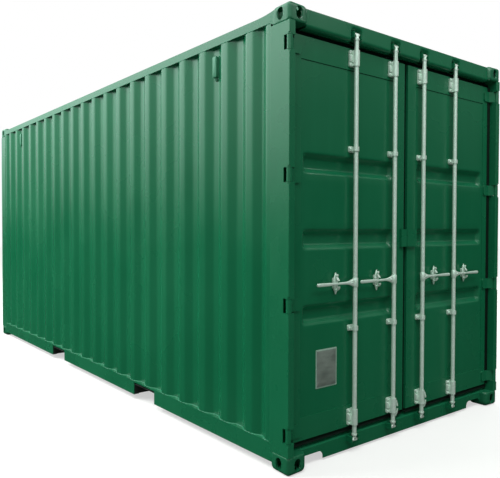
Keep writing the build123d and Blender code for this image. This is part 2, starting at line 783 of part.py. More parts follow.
def lock_plate(name, side, reach):
    """Plate on the free edge of one leaf that covers its half of the gap between the leaves."""
    back = leaf_depth - lock_plate_standoff
    with BuildPart() as plate:
        with BuildSketch(facing_out(back)):
            with Locations((side * (lock_plate_gap / 2 + reach) / 2, leaf_middle)):
                Rectangle(reach - lock_plate_gap / 2, lock_plate_height)
        extrude(amount=lock_plate_thickness)
        with BuildSketch(facing_out(leaf_depth)):
            with Locations((side * (leaf_middle_edge + reach) / 2, leaf_middle)):
                Rectangle(reach - leaf_middle_edge, lock_plate_height)
        extrude(amount=lock_plate_standoff)
    save(plate, f"{name}_lock_plate")


# Lock rods: each a tube with a cam on both ends and a handle that swings out to turn it
def lock_rod(name, side, place):
    axis_x = side * place
    axis_y = rear + rod_depth
    with BuildPart() as rod:
        with BuildSketch(Plane.XY.offset(rod_low)):
            with Locations((axis_x, axis_y)):
                Circle(rod_radius)
        extrude(amount=rod_high - rod_low)
        for base in (rod_low, rod_high - cam_height):
            with BuildSketch(Plane.XY.offset(base)):
                with Locations((axis_x, axis_y)):
                    RectangleRounded(2 * fluke_reach, fluke_thickness, fluke_thickness / 4)
            extrude(amount=cam_height)
        with Locations((axis_x, axis_y, rod_middle)):
            Cylinder(rod_radius - rod_wall, rod_high - rod_low - 2 * cam_height, mode=Mode.SUBTRACT)
    save(rod, f"{name}_rod")
    bar_low = handle_height - handle_bar_height / 2
    with BuildPart() as handle:
        with BuildSketch(Plane.XY.offset(handle_height - hub_height / 2)):
            with Locations((axis_x, axis_y)):
                Circle(hub_radius)
        extrude(amount=hub_height)
        with BuildSketch(facing_out(rod_depth)):
            with BuildLine():
                Polyline((axis_x, handle_height - hub_height / 2),
                         (axis_x + side * hub_neck_length, bar_low),
                         (axis_x + side * hub_neck_length, bar_low + handle_bar_height),
                         (axis_x, handle_height + hub_height / 2), close=True)
            make_face()
        extrude(amount=hub_neck_thickness / 2, both=True)
        with BuildSketch(facing_out(rod_depth)):
            with Locations((axis_x + side * handle_length / 2, handle_height)):
                RectangleRounded(handle_length, handle_bar_height, handle_bar_height / 4)
        extrude(amount=handle_bar_thickness / 2, both=True)
        with Locations((axis_x, axis_y, handle_height)):
            Cylinder(rod_radius + hub_clearance, 2 * hub_height, mode=Mode.SUBTRACT)
    save(handle, f"{name}_handle")


for side, side_name, plate_reach in zip((LEFT, RIGHT), ("left", "right"), lock_plate_reaches):
    door_name = f"{side_name}_door"
    door_frame(door_name, side)
    door_panel(door_name, side)
    door_gasket(door_name, side)
    hinge_blades(door_name, side)
    rod_brackets(door_name, side)
    handle_retainers(door_name, side)
    lock_plate(door_name, side, plate_reach)
    for place, rod_name in zip(rod_places, rod_names):
        lock_rod(f"{side_name}_{rod_name}", side, place)
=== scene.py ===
# %% [markdown]
# A steel shipping container, twenty feet long, seen from its door end. Its walls are thin pressed sheet
# on a welded frame, so most of what the eye reads is paint over bends, welds and shadow gaps. The frame
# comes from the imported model, in metres: X to the right at the doors, Y away from them, Z up.

# %% Load the frame
import json
import bmesh
import bpy
import numpy as np
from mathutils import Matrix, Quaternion, Vector


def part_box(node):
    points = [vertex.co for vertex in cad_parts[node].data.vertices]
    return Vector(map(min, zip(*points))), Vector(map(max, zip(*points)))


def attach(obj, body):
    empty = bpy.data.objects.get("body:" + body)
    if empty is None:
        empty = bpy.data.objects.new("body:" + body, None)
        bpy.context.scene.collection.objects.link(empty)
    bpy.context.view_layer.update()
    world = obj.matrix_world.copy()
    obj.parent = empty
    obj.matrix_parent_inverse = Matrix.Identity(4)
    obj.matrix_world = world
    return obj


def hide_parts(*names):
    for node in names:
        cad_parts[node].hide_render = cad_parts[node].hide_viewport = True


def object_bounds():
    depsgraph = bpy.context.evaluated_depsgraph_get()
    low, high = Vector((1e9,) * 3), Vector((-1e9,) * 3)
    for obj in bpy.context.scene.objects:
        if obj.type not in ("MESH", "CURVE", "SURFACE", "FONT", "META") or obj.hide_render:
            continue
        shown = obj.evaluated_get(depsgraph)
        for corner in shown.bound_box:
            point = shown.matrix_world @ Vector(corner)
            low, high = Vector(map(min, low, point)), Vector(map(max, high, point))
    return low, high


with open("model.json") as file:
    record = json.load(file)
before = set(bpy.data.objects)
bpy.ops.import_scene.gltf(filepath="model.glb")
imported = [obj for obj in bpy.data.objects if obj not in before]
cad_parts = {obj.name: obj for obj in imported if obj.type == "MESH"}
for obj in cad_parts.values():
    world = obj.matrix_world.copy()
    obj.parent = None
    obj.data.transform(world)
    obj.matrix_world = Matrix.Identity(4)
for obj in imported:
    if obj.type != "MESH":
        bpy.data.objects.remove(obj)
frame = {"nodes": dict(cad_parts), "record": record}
cad_low, cad_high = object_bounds()
nodes = frame["nodes"]
half_width, half_length = cad_high.x, cad_high.y
rear = cad_low.y
SIDES = {"left": -1, "right": 1}
PLACES = ("outer", "inner")
ENDS = (-1, 1)


def box(node_name):
    """Low and high corner of one node of the frame, as arrays."""
    return np.array(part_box(node_name))


def rod_axis(side_name, place):
    """X and Y of one lock rod's axis."""
    return box(f"{side_name}_{place}_rod")[:, :2].mean(axis=0)


print("frame", len(nodes), "nodes", [round(v, 3) for v in cad_high - cad_low])

# %% [markdown]
# The photograph was taken from near the door end's left corner, at about eye height. Its corner points
# were fitted with a pinhole camera, which gives the place, the turn and the focal length in pixels.

# %% Camera
image_width = 500.0
focal_pixels = 579.66
camera_place = Vector((-3.57543, -5.62550, 1.53267))
camera_azimuth, camera_elevation, camera_roll = np.radians((38.3846, -1.2167, -0.1436))
view_line = Vector((np.sin(camera_azimuth) * np.cos(camera_elevation),
                    np.cos(camera_azimuth) * np.cos(camera_elevation), np.sin(camera_elevation)))
camera = bpy.data.objects.new("camera", bpy.data.cameras.new("camera"))
camera.data.lens = camera.data.sensor_width * focal_pixels / image_width
camera.data.clip_end = 200.0
camera.location = camera_place
camera.rotation_mode = "QUATERNION"
camera.rotation_quaternion = Quaternion(view_line, camera_roll) @ view_line.to_track_quat("-Z", "Y")
scene = bpy.context.scene
scene.collection.objects.link(camera)
scene.camera = camera
print("lens", round(camera.data.lens, 2), "mm")

# %% [markdown]
# A finish is a small tree of shader nodes. One function adds a node, sets its own properties and has
# its sockets filled, either with a value or with another node's output. A socket goes by its name, or
# by its number where names repeat, as on the mix node. Colours are written as on a screen, in hex, and
# turned to the linear values that the shader works with.


# %% Helpers for finishes
def linear(colour):
    """Linear red, green, blue and alpha of a colour written as six hex digits."""
    screen = np.array([int(colour[i:i + 2], 16) for i in (1, 3, 5)]) / 255
    return (*np.where(screen <= 0.04045, screen / 12.92, ((screen + 0.055) / 1.055) ** 2.4), 1.0)


def fill(tree, made, sockets):
    """Give a node's sockets their values, or link them to another node's output."""
    for name, value in sockets.items():
        if isinstance(value, bpy.types.NodeSocket):
            tree.links.new(value, made.inputs[name])
        else:
            made.inputs[name].default_value = value


def node(tree, kind, output, sockets, **settings):
    """Add one shader node, set its own properties, fill its sockets and give back one of its outputs."""
    made = tree.nodes.new("ShaderNode" + kind)
    for name, value in settings.items():
        setattr(made, name, value)
    fill(tree, made, sockets)
    return made.outputs[output]


def new_finish(name):
    """An empty material with its tree, its surface shader and the piece's own coordinates."""
    finish = bpy.data.materials.new(name)
    finish.use_nodes = True
    tree = finish.node_tree
    return finish, tree, tree.nodes["Principled BSDF"], node(tree, "TexCoord", "Object", {})


# %% [markdown]
# Marine enamel is sprayed in thick coats, so it has a soft gloss and a faint orange peel. On big sheets
# the colour drifts a little from one square metre to the next, rain leaves upright streaks, and road
# dust settles near the ground. The peel is only a few millimetres across, so here it is drawn coarser.

# %% Painted steel
streak_scale = (14.0, 14.0, 0.9)
dust_top = 0.4
chip_size = 1 / 38


def enamel(name, colour, roughness, cloud_size=0.8, peel_size=0.03, peel=0.12, wear=0.0):
    """Green enamel: cloudy tone, upright rain streaks, dust low down, and chips to primer where worn."""
    finish, tree, shader, place = new_finish(name)
    cloud = node(tree, "TexNoise", "Fac", {"Vector": place, "Scale": 1 / cloud_size, "Detail": 4.0})
    stretched = node(tree, "Mapping", "Vector", {"Vector": place, "Scale": streak_scale})
    streak = node(tree, "TexNoise", "Fac", {"Vector": stretched, "Scale": 1.0, "Detail": 3.0})
    base = np.array(linear(colour))
    toned = node(tree, "Mix", 2, {0: cloud, 6: tuple(base * (0.8, 0.88, 0.86, 1)),
                                  7: tuple(base * (1.25, 1.12, 1.14, 1))}, data_type="RGBA")
    streak_share = node(tree, "MapRange", "Result", {"Value": streak, "From Min": 0.5, "From Max": 0.8,
                                                     "To Max": 0.18})
    washed = node(tree, "Mix", 2, {0: streak_share, 6: toned,
                                   7: tuple(base * (2.0, 1.3, 1.4, 1))}, data_type="RGBA")
    height = node(tree, "SeparateXYZ", "Z", {"Vector": place})
    low_down = node(tree, "MapRange", "Result", {"Value": height, "From Min": dust_top, "From Max": 0.0,
                                                 "To Max": 0.12})
    dust_share = node(tree, "Math", 0, {0: low_down, 1: cloud}, operation="MULTIPLY")
    dusty = node(tree, "Mix", 2, {0: dust_share, 6: washed, 7: linear("#3c5c48")}, data_type="RGBA")
    chips = node(tree, "TexNoise", "Fac", {"Vector": place, "Scale": 1 / chip_size, "Detail": 6.0,
                                           "Roughness": 0.7})
    chip_share = node(tree, "MapRange", "Result", {"Value": chips, "From Min": 0.76 - wear,
                                                   "From Max": 0.79 - wear})
    worn = node(tree, "Mix", 2, {0: chip_share, 6: dusty, 7: linear("#54402f")}, data_type="RGBA")
    peel_noise = node(tree, "TexNoise", "Fac", {"Vector": place, "Scale": 1 / peel_size, "Detail": 2.0})
    bumped = node(tree, "Bump", "Normal", {"Strength": peel, "Distance": 0.002, "Height": peel_noise})
    gloss = node(tree, "MapRange", "Result", {"Value": cloud, "From Min": 0.3, "From Max": 0.7,
                                              "To Min": roughness - 0.06, "To Max": roughness + 0.06})
    fill(tree, shader, {"Base Color": worn, "Roughness": gloss, "Normal": bumped, "IOR": 1.48})
    return finish


body_enamel = enamel("marine enamel on sheet steel", "#0f6743", 0.25, peel=0.05)
casting_enamel = enamel("marine enamel on cast steel", "#0f6341", 0.36, 0.2, 0.007, 0.25, 0.02)
weld_enamel = enamel("marine enamel over weld beads", "#12694a", 0.5, 0.5, 0.01, 0.1)
rail_enamel = enamel("marine enamel on rolled steel", "#0f6743", 0.27, 0.5, 0.02, 0.06, 0.01)
print("enamels", body_enamel.name, casting_enamel.name, rail_enamel.name)

# %% [markdown]
# The door gear is hot-dip galvanised: zinc freezes on the steel in flat crystals, each with its own
# grey, and weathers to a pale satin. Crystals are about a centimetre across. The zinc's green cast is
# painted reflection of the green paint around it. Rubber, plywood and the tar-like coating under the
# floor are duller, and each shows how it was made: extruded, peeled from logs, or sprayed thick. The
# rubber's green tint is partly painted shade: the look of shadowed green paint in the gaps.

# %% Other finishes
crystal_size = 0.012


def galvanised(name):
    """Zinc: a Voronoi cell for each crystal gives its tone, and noise breaks the gloss."""
    finish, tree, shader, place = new_finish(name)
    crystal = node(tree, "TexVoronoi", "Color", {"Vector": place, "Scale": 1 / crystal_size})
    shade = node(tree, "SeparateColor", "Red", {"Color": crystal})
    cloud = node(tree, "TexNoise", "Fac", {"Vector": place, "Scale": 9.0, "Detail": 5.0})
    # Both zinc tones and the stain are tinted green: painted reflection of the green paint around the gear.
    zinc = node(tree, "Mix", 2, {0: shade, 6: linear("#cfe8d9"), 7: linear("#dbefe3")}, data_type="RGBA")
    stain = node(tree, "MapRange", "Result", {"Value": cloud, "From Min": 0.58, "From Max": 0.85,
                                              "To Max": 0.3})
    mixed = node(tree, "Mix", 2, {0: stain, 6: zinc, 7: linear("#a9c4b5")}, data_type="RGBA")
    gloss = node(tree, "MapRange", "Result", {"Value": cloud, "To Min": 0.36, "To Max": 0.48})
    bumped = node(tree, "Bump", "Normal", {"Strength": 0.04, "Distance": 0.001, "Height": cloud})
    fill(tree, shader, {"Base Color": mixed, "Roughness": gloss, "Normal": bumped, "Metallic": 0.32})
    return finish


def mottled(name, dark, light, size, roughness, bump, stretch=(1.0, 1.0, 1.0), mirror=0.5):
    """A dull finish: noise of one grain size, stretched along its making, sets tone and bump."""
    finish, tree, shader, place = new_finish(name)
    grain = node(tree, "Mapping", "Vector", {"Vector": place, "Scale": stretch})
    noise = node(tree, "TexNoise", "Fac", {"Vector": grain, "Scale": 1 / size, "Detail": 6.0})
    tone = node(tree, "MapRange", "Result", {"Value": noise, "From Min": 0.3, "From Max": 0.7})
    colour = node(tree, "Mix", 2, {0: tone, 6: linear(dark), 7: linear(light)}, data_type="RGBA")
    bumped = node(tree, "Bump", "Normal", {"Strength": bump, "Distance": 0.003, "Height": noise})
    fill(tree, shader, {"Base Color": colour, "Normal": bumped, "Roughness": roughness,
                        "Specular IOR Level": mirror})
    return finish


zinc_and_painted_reflection_finish = galvanised("hot-dip galvanised steel with painted green reflection")
# Black rubber with a green tint: the tint is painted shade, standing for shadowed green paint in the gaps.
rubber_and_painted_shade_finish = mottled("extruded black rubber tinted as painted shade", "#04120b", "#081b12", 0.006, 0.8, 0.1, (1.0, 1.0, 0.1),
                        0.12)
plywood_finish = mottled("sealed hardwood plywood", "#5b3a20", "#8d6238", 0.02, 0.55, 0.1, (1.0, 0.06, 1.0))
tar_finish = mottled("sprayed underbody coating", "#0b0f0c", "#161c18", 0.02, 0.8, 0.5)
plate_finish = mottled("weathered aluminium plate", "#5d6a62", "#78857c", 0.05, 0.55, 0.05,
                       (0.5, 1.0, 1.6))
# The rim's pale green is a painted highlight along the plate's edge, not the colour of bare aluminium.
rim_with_painted_highlight_finish = mottled("aluminium edge with painted highlight", "#82a392", "#93b3a2", 0.03, 0.4, 0.05)
vent_finish = mottled("painted moulded plastic", "#2f7557", "#3a8263", 0.01, 0.45, 0.05)
print("finishes", len(bpy.data.materials))

# %% [markdown]
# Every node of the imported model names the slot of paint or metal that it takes. The nodes that stay as
# they are get the matching finish here, and the pieces made below get theirs as they are made.

# %% Finishes on the frame's own pieces
slot_finishes = {"green_paint": rail_enamel, "painted_casting": casting_enamel, "base_paint": tar_finish,
                 "galvanised_steel": zinc_and_painted_reflection_finish, "gasket_rubber": rubber_and_painted_shade_finish, "plywood": plywood_finish,
                 "vent_plastic": vent_finish}
for row in frame["record"]["subparts"]:
    mesh = nodes[row["node"]].data
    mesh.materials.clear()
    mesh.materials.append(slot_finishes[row["material_slot"]])

# %% [markdown]
# New pieces are grids of points. A patch is such a grid with its faces, a shell is two like grids
# joined round their border, as sheet metal is, and a piece is a list of patches in one mesh that rides
# on a body.


# %% Helpers for shapes
def quads(rows, columns, wrap_rows=False, wrap_columns=False):
    """Corner numbers of a grid's faces; a wrapped direction joins its last line to its first."""
    row = np.arange(rows if wrap_rows else rows - 1)[:, None]
    column = np.arange(columns if wrap_columns else columns - 1)[None, :]
    next_row, next_column = (row + 1) % rows, (column + 1) % columns
    corners = (row * columns + column, row * columns + next_column,
               next_row * columns + next_column, next_row * columns + column)
    return np.stack(np.broadcast_arrays(*corners), axis=-1).reshape(-1, 4)


def patch(points, wrap_rows=False, wrap_columns=False):
    """A grid of points, or a stack of like grids, with the faces of each."""
    rows, columns = points.shape[-3:-1]
    faces = quads(rows, columns, wrap_rows, wrap_columns)
    stack = points.reshape(-1, rows * columns, 3)
    starts = np.arange(len(stack))[:, None, None] * rows * columns
    return stack.reshape(-1, 3), (starts + faces).reshape(-1, 4)


def shell(outer, inner):
    """Two like grids and the strip of faces between their borders: a sheet with a thickness."""
    rows, columns = outer.shape[:2]
    numbers = np.arange(rows * columns).reshape(rows, columns)
    ring = np.concatenate([numbers[0, :-1], numbers[:-1, -1], numbers[-1, :0:-1], numbers[:0:-1, 0]])
    onward = np.roll(ring, -1)
    count = rows * columns
    faces = quads(rows, columns)
    rim = np.stack([ring, ring + count, onward + count, onward], axis=-1)
    return (np.concatenate([outer.reshape(-1, 3), inner.reshape(-1, 3)]),
            np.concatenate([faces, faces[:, ::-1] + count, rim]))


def set_piece(mesh, finish, body, replaced=(), crease=35.0):
    """Shade a mesh, give it its finish and set it in the scene as a piece that rides on a body."""
    mesh.shade_smooth()
    mesh.set_sharp_from_angle(angle=np.radians(crease))
    mesh.materials.append(finish)
    made = bpy.data.objects.new(mesh.name, mesh)
    scene.collection.objects.link(made)
    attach(made, body)
    if replaced:
        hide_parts(*replaced)
    print("piece", mesh.name, len(mesh.polygons), "faces")


def piece(name, patches, finish, body, replaced=()):
    """Join patches in one mesh, merge their seams, turn faces outwards and set the piece on its body."""
    starts = np.cumsum([0] + [len(points) for points, faces in patches])
    points = np.concatenate([points for points, faces in patches])
    faces = np.concatenate([faces + start for (_, faces), start in zip(patches, starts)])
    mesh = bpy.data.meshes.new(name)
    mesh.vertices.add(len(points))
    mesh.vertices.foreach_set("co", points.ravel())
    mesh.loops.add(faces.size)
    mesh.loops.foreach_set("vertex_index", faces.ravel())
    mesh.polygons.add(len(faces))
    mesh.polygons.foreach_set("loop_start", np.arange(len(faces)) * 4)
    mesh.update(calc_edges=True)
    work = bmesh.new()
    work.from_mesh(mesh)
    bmesh.ops.remove_doubles(work, verts=work.verts, dist=1e-6)
    bmesh.ops.recalc_face_normals(work, faces=work.faces)
    work.to_mesh(mesh)
    work.free()
    set_piece(mesh, finish, body, replaced)


# %% [markdown]
# Side and end walls are flat sheet pressed into waves, so the bends have a radius of about a
# centimetre. The profile is straight between its break points and is averaged over the length of one
# bend, which rounds it. Welding leaves the thin sheet slightly out of true, so slow ripples of about a
# millimetre are added.


# %% Helpers for pressed sheet
def eased(places, breaks, levels, bend):
    """Level at each place: straight runs between the breaks, averaged over the length of one bend."""
    shifts = np.linspace(-bend / 2, bend / 2, 9)
    return np.interp(places[..., None] + shifts, breaks, levels).mean(axis=-1)


def bend_places(breaks, bend, longest):
    """Places to sample: five across each bend, and more on the flats, no further apart than the longest."""
    spread = (np.asarray(breaks)[:, None] + bend * np.linspace(-0.5, 0.5, 5)).ravel()
    filled = np.arange(breaks[0], breaks[-1], longest)
    places = np.unique(np.round(np.concatenate([spread, filled, [breaks[-1]]]), 5))
    return places[(places >= breaks[0]) & (places <= breaks[-1])]


def corrugation(span, edge_flat, end_valley, crest, slope, count):
    """Break points of a wall of waves along its span, and their levels: 0 on a crest and 1 in a valley."""
    valley = (span - 2 * edge_flat - 2 * end_valley - count * crest - 2 * (count + 1) * slope) / (count - 1)
    floors = np.full(count + 1, valley)
    floors[[0, -1]] = end_valley
    starts = edge_flat + np.concatenate([[0], np.cumsum(2 * slope + floors + crest)[:-1]])
    corners = np.stack([starts, starts + slope, starts + slope + floors, starts + 2 * slope + floors],
                       axis=1)
    breaks = np.concatenate([[0], corners.ravel(), [span]]) - span / 2
    return breaks, np.concatenate([[0], np.tile([0, 1, 1, 0], count + 1), [0]])


def ripple(along, up, amount):
    """Slow unevenness of thin sheet: three waves of unlike length that die out at the welded edges."""
    share = (up - up.min()) / np.ptp(up)
    fade = np.sin(np.pi * share)
    waves = (np.sin(4.1 * along + 1.3 * up) + np.sin(7.3 * along - 2.9 * up + 1.0)
             + 0.7 * np.sin(13.7 * along + 4.7 * up + 2.0))
    return amount * fade * waves / 2.7


# %% Corrugated walls
sheet = 0.002
bend = 0.026
wall_rows, wall_step, wall_ripple = 48, 0.07, 0.0012
wall_waves = dict(edge_flat=0.044, end_valley=0.002, crest=0.072, slope=0.068, count=20)
front_waves = dict(edge_flat=0.040, end_valley=0.060, crest=0.110, slope=0.024, count=9)


def pressed_wall(node_name, waves, along_axis, outwards):
    """Sheet in the place of a wall node: waves along one axis, upright lines along Z, crests outermost."""
    low, high = box(node_name)
    across_axis = 1 - along_axis
    breaks, levels = corrugation(high[along_axis] - low[along_axis], **waves)
    places = bend_places(breaks, bend, wall_step)
    heights = np.linspace(low[2], high[2], wall_rows)
    up, along = np.meshgrid(heights, places, indexing="ij")
    depth = (high[across_axis] - low[across_axis] - sheet) * eased(places, breaks, levels, bend)
    behind = depth + ripple(along, up, wall_ripple)
    face = high[across_axis] if outwards > 0 else low[across_axis]
    grids = []
    for layer in (0.0, sheet):
        grid = np.empty((*up.shape, 3))
        grid[..., along_axis] = along
        grid[..., across_axis] = face - outwards * (behind + layer)
        grid[..., 2] = up
        grids.append(grid)
    return grids


seams = []
for side_name, side in SIDES.items():
    outer, inner = pressed_wall(f"{side_name}_side_wall", wall_waves, 1, side)
    piece(f"{side_name}_wall_sheet", [shell(outer, inner)], body_enamel, "frame",
          [f"{side_name}_side_wall"])
    seams += [outer[0], outer[-1]]
outer, inner = pressed_wall("front_wall", front_waves, 0, 1)
piece("front_wall_sheet", [shell(outer, inner)], body_enamel, "frame", ["front_wall"])
seams += [outer[0], outer[-1]]
print("seams", len(seams))

# %% [markdown]
# The roof sheet has low cross ribs with closed ends, and each door panel has three long recesses. Both
# are one height over a grid: the product of a trapezium along and a trapezium across, each eased at its
# bends.


# %% Helper for pressed fields
def trapezium(centres, foot, top, low, high):
    """Break points and levels of flat-topped waves, one at each centre, between two ends at 0."""
    centres = np.asarray(centres)[:, None]
    corners = centres + np.array([-foot / 2, -top / 2, top / 2, foot / 2])
    breaks = np.concatenate([[low], corners.ravel(), [high]])
    return breaks, np.concatenate([[0], np.tile([0, 1, 1, 0], len(centres)), [0]])


# %% Roof sheet
roof_low, roof_high = box("roof")
rail_low, rail_high = box("top_side_rails")
rib_count, rib_foot, rib_top, rib_length, rib_margin = 26, 0.140, 0.096, 2.160, 0.060
rib_height = roof_high[2] - roof_low[2] - sheet
span_low, span_high = rail_low[1], rail_high[1]
rib_inset = rib_margin + rib_foot / 2
rib_centres = np.linspace(span_low + rib_inset, span_high - rib_inset, rib_count)
along_breaks, along_levels = trapezium(rib_centres, rib_foot, rib_top, span_low, span_high)
across_breaks, across_levels = trapezium([0.0], rib_length, rib_length - rib_foot + rib_top,
                                         roof_low[0], roof_high[0])
roof_bend, along_step, across_step = 0.018, 0.2, 0.12
along = bend_places(along_breaks, roof_bend, along_step)
across = bend_places(across_breaks, roof_bend, across_step)
rise = rib_height * np.outer(eased(along, along_breaks, along_levels, roof_bend),
                             eased(across, across_breaks, across_levels, roof_bend))
roof_y, roof_x = np.meshgrid(along, across, indexing="ij")
roof_grids = [np.stack([roof_x, roof_y, roof_low[2] + layer + rise], axis=-1) for layer in (sheet, 0.0)]
piece("roof_sheet", [shell(*roof_grids)], body_enamel, "frame", ["roof"])

# %% Door panels
recess_foot, recess_floor, recess_spacing, recess_margin = 0.128, 0.064, 0.485, 0.022
recess_drop = 0.001
panel_bend, panel_step, panel_ripple = 0.016, 0.05, 0.0008


def pressed_panel(side_name):
    """Door sheet with three recesses: depth behind the face over a grid of X and Z."""
    low, high = box(f"{side_name}_door_panel")
    middle = (low[2] + high[2]) / 2 - recess_drop
    centres = middle + recess_spacing * np.array([-1, 0, 1])
    up_breaks, up_levels = trapezium(centres, recess_foot, recess_floor, low[2], high[2])
    length = high[0] - low[0] - 2 * recess_margin
    side_middle = (low[0] + high[0]) / 2
    side_breaks, side_levels = trapezium([side_middle], length, length - recess_foot + recess_floor,
                                         low[0], high[0])
    up = bend_places(up_breaks, panel_bend, panel_step)
    wide = bend_places(side_breaks, panel_bend, panel_step)
    depth = (high[1] - low[1] - sheet) * np.outer(eased(up, up_breaks, up_levels, panel_bend),
                                                  eased(wide, side_breaks, side_levels, panel_bend))
    grid_z, grid_x = np.meshgrid(up, wide, indexing="ij")
    depth = depth + ripple(grid_x, grid_z, panel_ripple)
    return [np.stack([grid_x, low[1] + layer + depth, grid_z], axis=-1) for layer in (0.0, sheet)]


for side_name in SIDES:
    piece(f"{side_name}_door_sheet", [shell(*pressed_panel(side_name))], body_enamel, f"{side_name}_door",
          [f"{side_name}_door_panel"])

# %% [markdown]
# The header over the doors is one folded sheet. Its lower edge is rolled under, and it is pressed back
# in a soft hollow behind each rod's cam. So it is a profile from the top edge to the underside, carried
# along X, and the hollow is added to its depth: the product of one eased step up the face and one eased
# wave across it.

# %% Door header
header_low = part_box("header_face_boxes")[0].z
header_front, header_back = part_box("header_cap")
header_high, seat_depth = header_back.z, header_back.y - rear
hollow_depth, hollow_foot, hollow_floor = 0.037, 0.112, 0.056
hollow_start, hollow_end = header_front.z - 0.002, header_front.z + 0.024
top_fold, low_fold, fold_bend, header_step = 0.006, 0.022, 0.016, 0.08
rod_places = sorted(rod_axis(side_name, place)[0] for side_name in SIDES for place in PLACES)
cross_breaks, cross_levels = trapezium(rod_places, hollow_foot, hollow_floor, header_front.x, header_back.x)
header_x = bend_places(cross_breaks, fold_bend, header_step)
turn = np.linspace(0, np.pi / 2, 7)
face_z = np.linspace(header_high - top_fold, header_low + low_fold, 22)[1:-1]
profile_z = np.concatenate([[header_high], header_high - top_fold + top_fold * np.cos(turn), face_z,
                            header_low + low_fold - low_fold * np.sin(turn), [header_low]])
profile_back = np.concatenate([[seat_depth], top_fold * (1 - np.sin(turn)), 0 * face_z,
                               low_fold * (1 - np.cos(turn)), [seat_depth]])
hollow_up = eased(profile_z, [header_low, hollow_start, hollow_end, header_high], [1, 1, 0, 0], fold_bend)
hollow = hollow_depth * np.outer(hollow_up, eased(header_x, cross_breaks, cross_levels, fold_bend))
header_depth = np.minimum(header_front.y - rear + profile_back[:, None] + hollow, seat_depth)
header_grids = []
for layer in (0.0, sheet):
    shrunk = profile_z + layer * np.sign((header_low + header_high) / 2 - profile_z)
    grid_z, grid_x = np.meshgrid(shrunk, header_x, indexing="ij")
    header_grids.append(np.stack([grid_x, rear + header_depth + layer, grid_z], axis=-1))
piece("header_sheet", [shell(*header_grids)], body_enamel, "frame",
      ["header_face_boxes", "header_cap"])

# %% [markdown]
# The door gear is turned, forged and bent from bar. A few functions cover it: a bar through rounded
# sections, a profile carried round an axis, a plate with round corners and eased edges, a bent strip
# and a thin bead. The first three are worked out in a frame of three directions, so the same bolt can
# stand upright or face the person in front of the doors.

# %% Helpers for door gear
UPRIGHT = np.eye(3)
TO_VIEWER = np.array([[1.0, 0, 0], [0, 0, 1], [0, -1, 0]])
bead_swell, bead_phase = 0.18, 2.1
TO_SIDE = {side: np.array([[0, 1.0, 0], [0, 0, 1], [side, 0, 0]]) for side in ENDS}


def forged(stations, centres, axes=UPRIGHT, sides=24):
    """A bar through superellipses; a station is a place on the third axis, two half sizes, a power."""
    along, half_u, half_v, power = np.asarray(stations, dtype=float).T[:, :, None]
    angle = np.linspace(0, 2 * np.pi, sides, endpoint=False)
    across = half_u * np.sign(np.cos(angle)) * np.abs(np.cos(angle)) ** (2 / power)
    over = half_v * np.sign(np.sin(angle)) * np.abs(np.sin(angle)) ** (2 / power)
    local = np.stack(np.broadcast_arrays(across, over, along), axis=-1)
    return patch(np.reshape(centres, (-1, 1, 1, 3)) + local @ axes, wrap_columns=True)


def turned(profile, centres, axes=UPRIGHT, sides=24):
    """At each centre, radius and height pairs carried round the third of the axes."""
    stations = [(height, radius, radius, 2) for radius, height in profile]
    return forged(stations, centres, axes, sides)


def plate(width, height, corner, thickness, edge, centres, axes=TO_VIEWER):
    """At each centre, a round-cornered outline carried from back to front, drawn in at an eased edge."""
    turn = np.arange(4)[:, None] * np.pi / 2 + np.linspace(0, np.pi / 2, 6)
    corner_u = (width / 2 - corner) * np.array([1, -1, -1, 1])[:, None]
    corner_v = (height / 2 - corner) * np.array([1, 1, -1, -1])[:, None]
    rows = []
    ease = 0.3 * edge
    outline = ((0, 0, 0), (1, 0, 0), (1, 0, thickness - edge), (1, ease, thickness - ease),
               (1, edge, thickness), (0, 0, thickness))
    for share, inset, level in outline:
        across = share * (corner_u + (corner - inset) * np.cos(turn))
        over = share * (corner_v + (corner - inset) * np.sin(turn))
        rows.append(np.stack([across.ravel(), over.ravel(), np.full(across.size, level)], axis=-1))
    return patch(np.reshape(centres, (-1, 1, 1, 3)) + np.stack(rows) @ axes, wrap_columns=True)


def bent_strip(path, width, thickness, middle):
    """A flat bar along a path of depth and height pairs, its width along X about the middle."""
    path = np.asarray(path, dtype=float)
    onward = np.gradient(path, axis=0)
    normal = np.stack([-onward[:, 1], onward[:, 0]], axis=-1) / np.linalg.norm(onward, axis=1)[:, None]
    grids = []
    for side in (0.5, -0.5):
        line = path + side * thickness * normal
        edges = [np.stack([np.full(len(line), middle + half * width), line[:, 0], line[:, 1]], axis=-1)
                 for half in (-0.5, 0.5)]
        grids.append(np.stack(edges, axis=1))
    return shell(*grids)


def bead(path, radius, upwards=(0, 0, 1.0), sides=6):
    """A thin tube along a path, its radius swelling in small ripples and closing at both ends."""
    path = np.asarray(path, dtype=float)
    onward = np.gradient(path, axis=0)
    onward /= np.linalg.norm(onward, axis=1)[:, None]
    sideways = np.cross(onward, upwards)
    sideways /= np.linalg.norm(sideways, axis=1)[:, None]
    over = np.cross(sideways, onward)
    swell = radius * (1 + bead_swell * np.sin(np.arange(len(path)) * bead_phase))
    swell[[0, -1]] = 0
    angle = np.linspace(0, 2 * np.pi, sides, endpoint=False)
    ring = np.cos(angle)[:, None] * sideways[:, None] + np.sin(angle)[:, None] * over[:, None]
    return patch(path[:, None] + swell[:, None, None] * ring, wrap_columns=True)


def bolt_heads(centres, radius, axes=TO_VIEWER):
    """Hexagon heads on round washers."""
    height, rim, washer_tall = 1.1 * radius, 1.6 * radius, 0.25 * radius
    washer = turned([(0, 0), (rim, 0), (rim, washer_tall), (0, washer_tall)], centres, axes, 16)
    section = [(radius, 0), (radius, 0.8 * height), (0.85 * radius, height), (0, height)]
    head = turned(section, centres, axes, 6)
    return [washer, head]


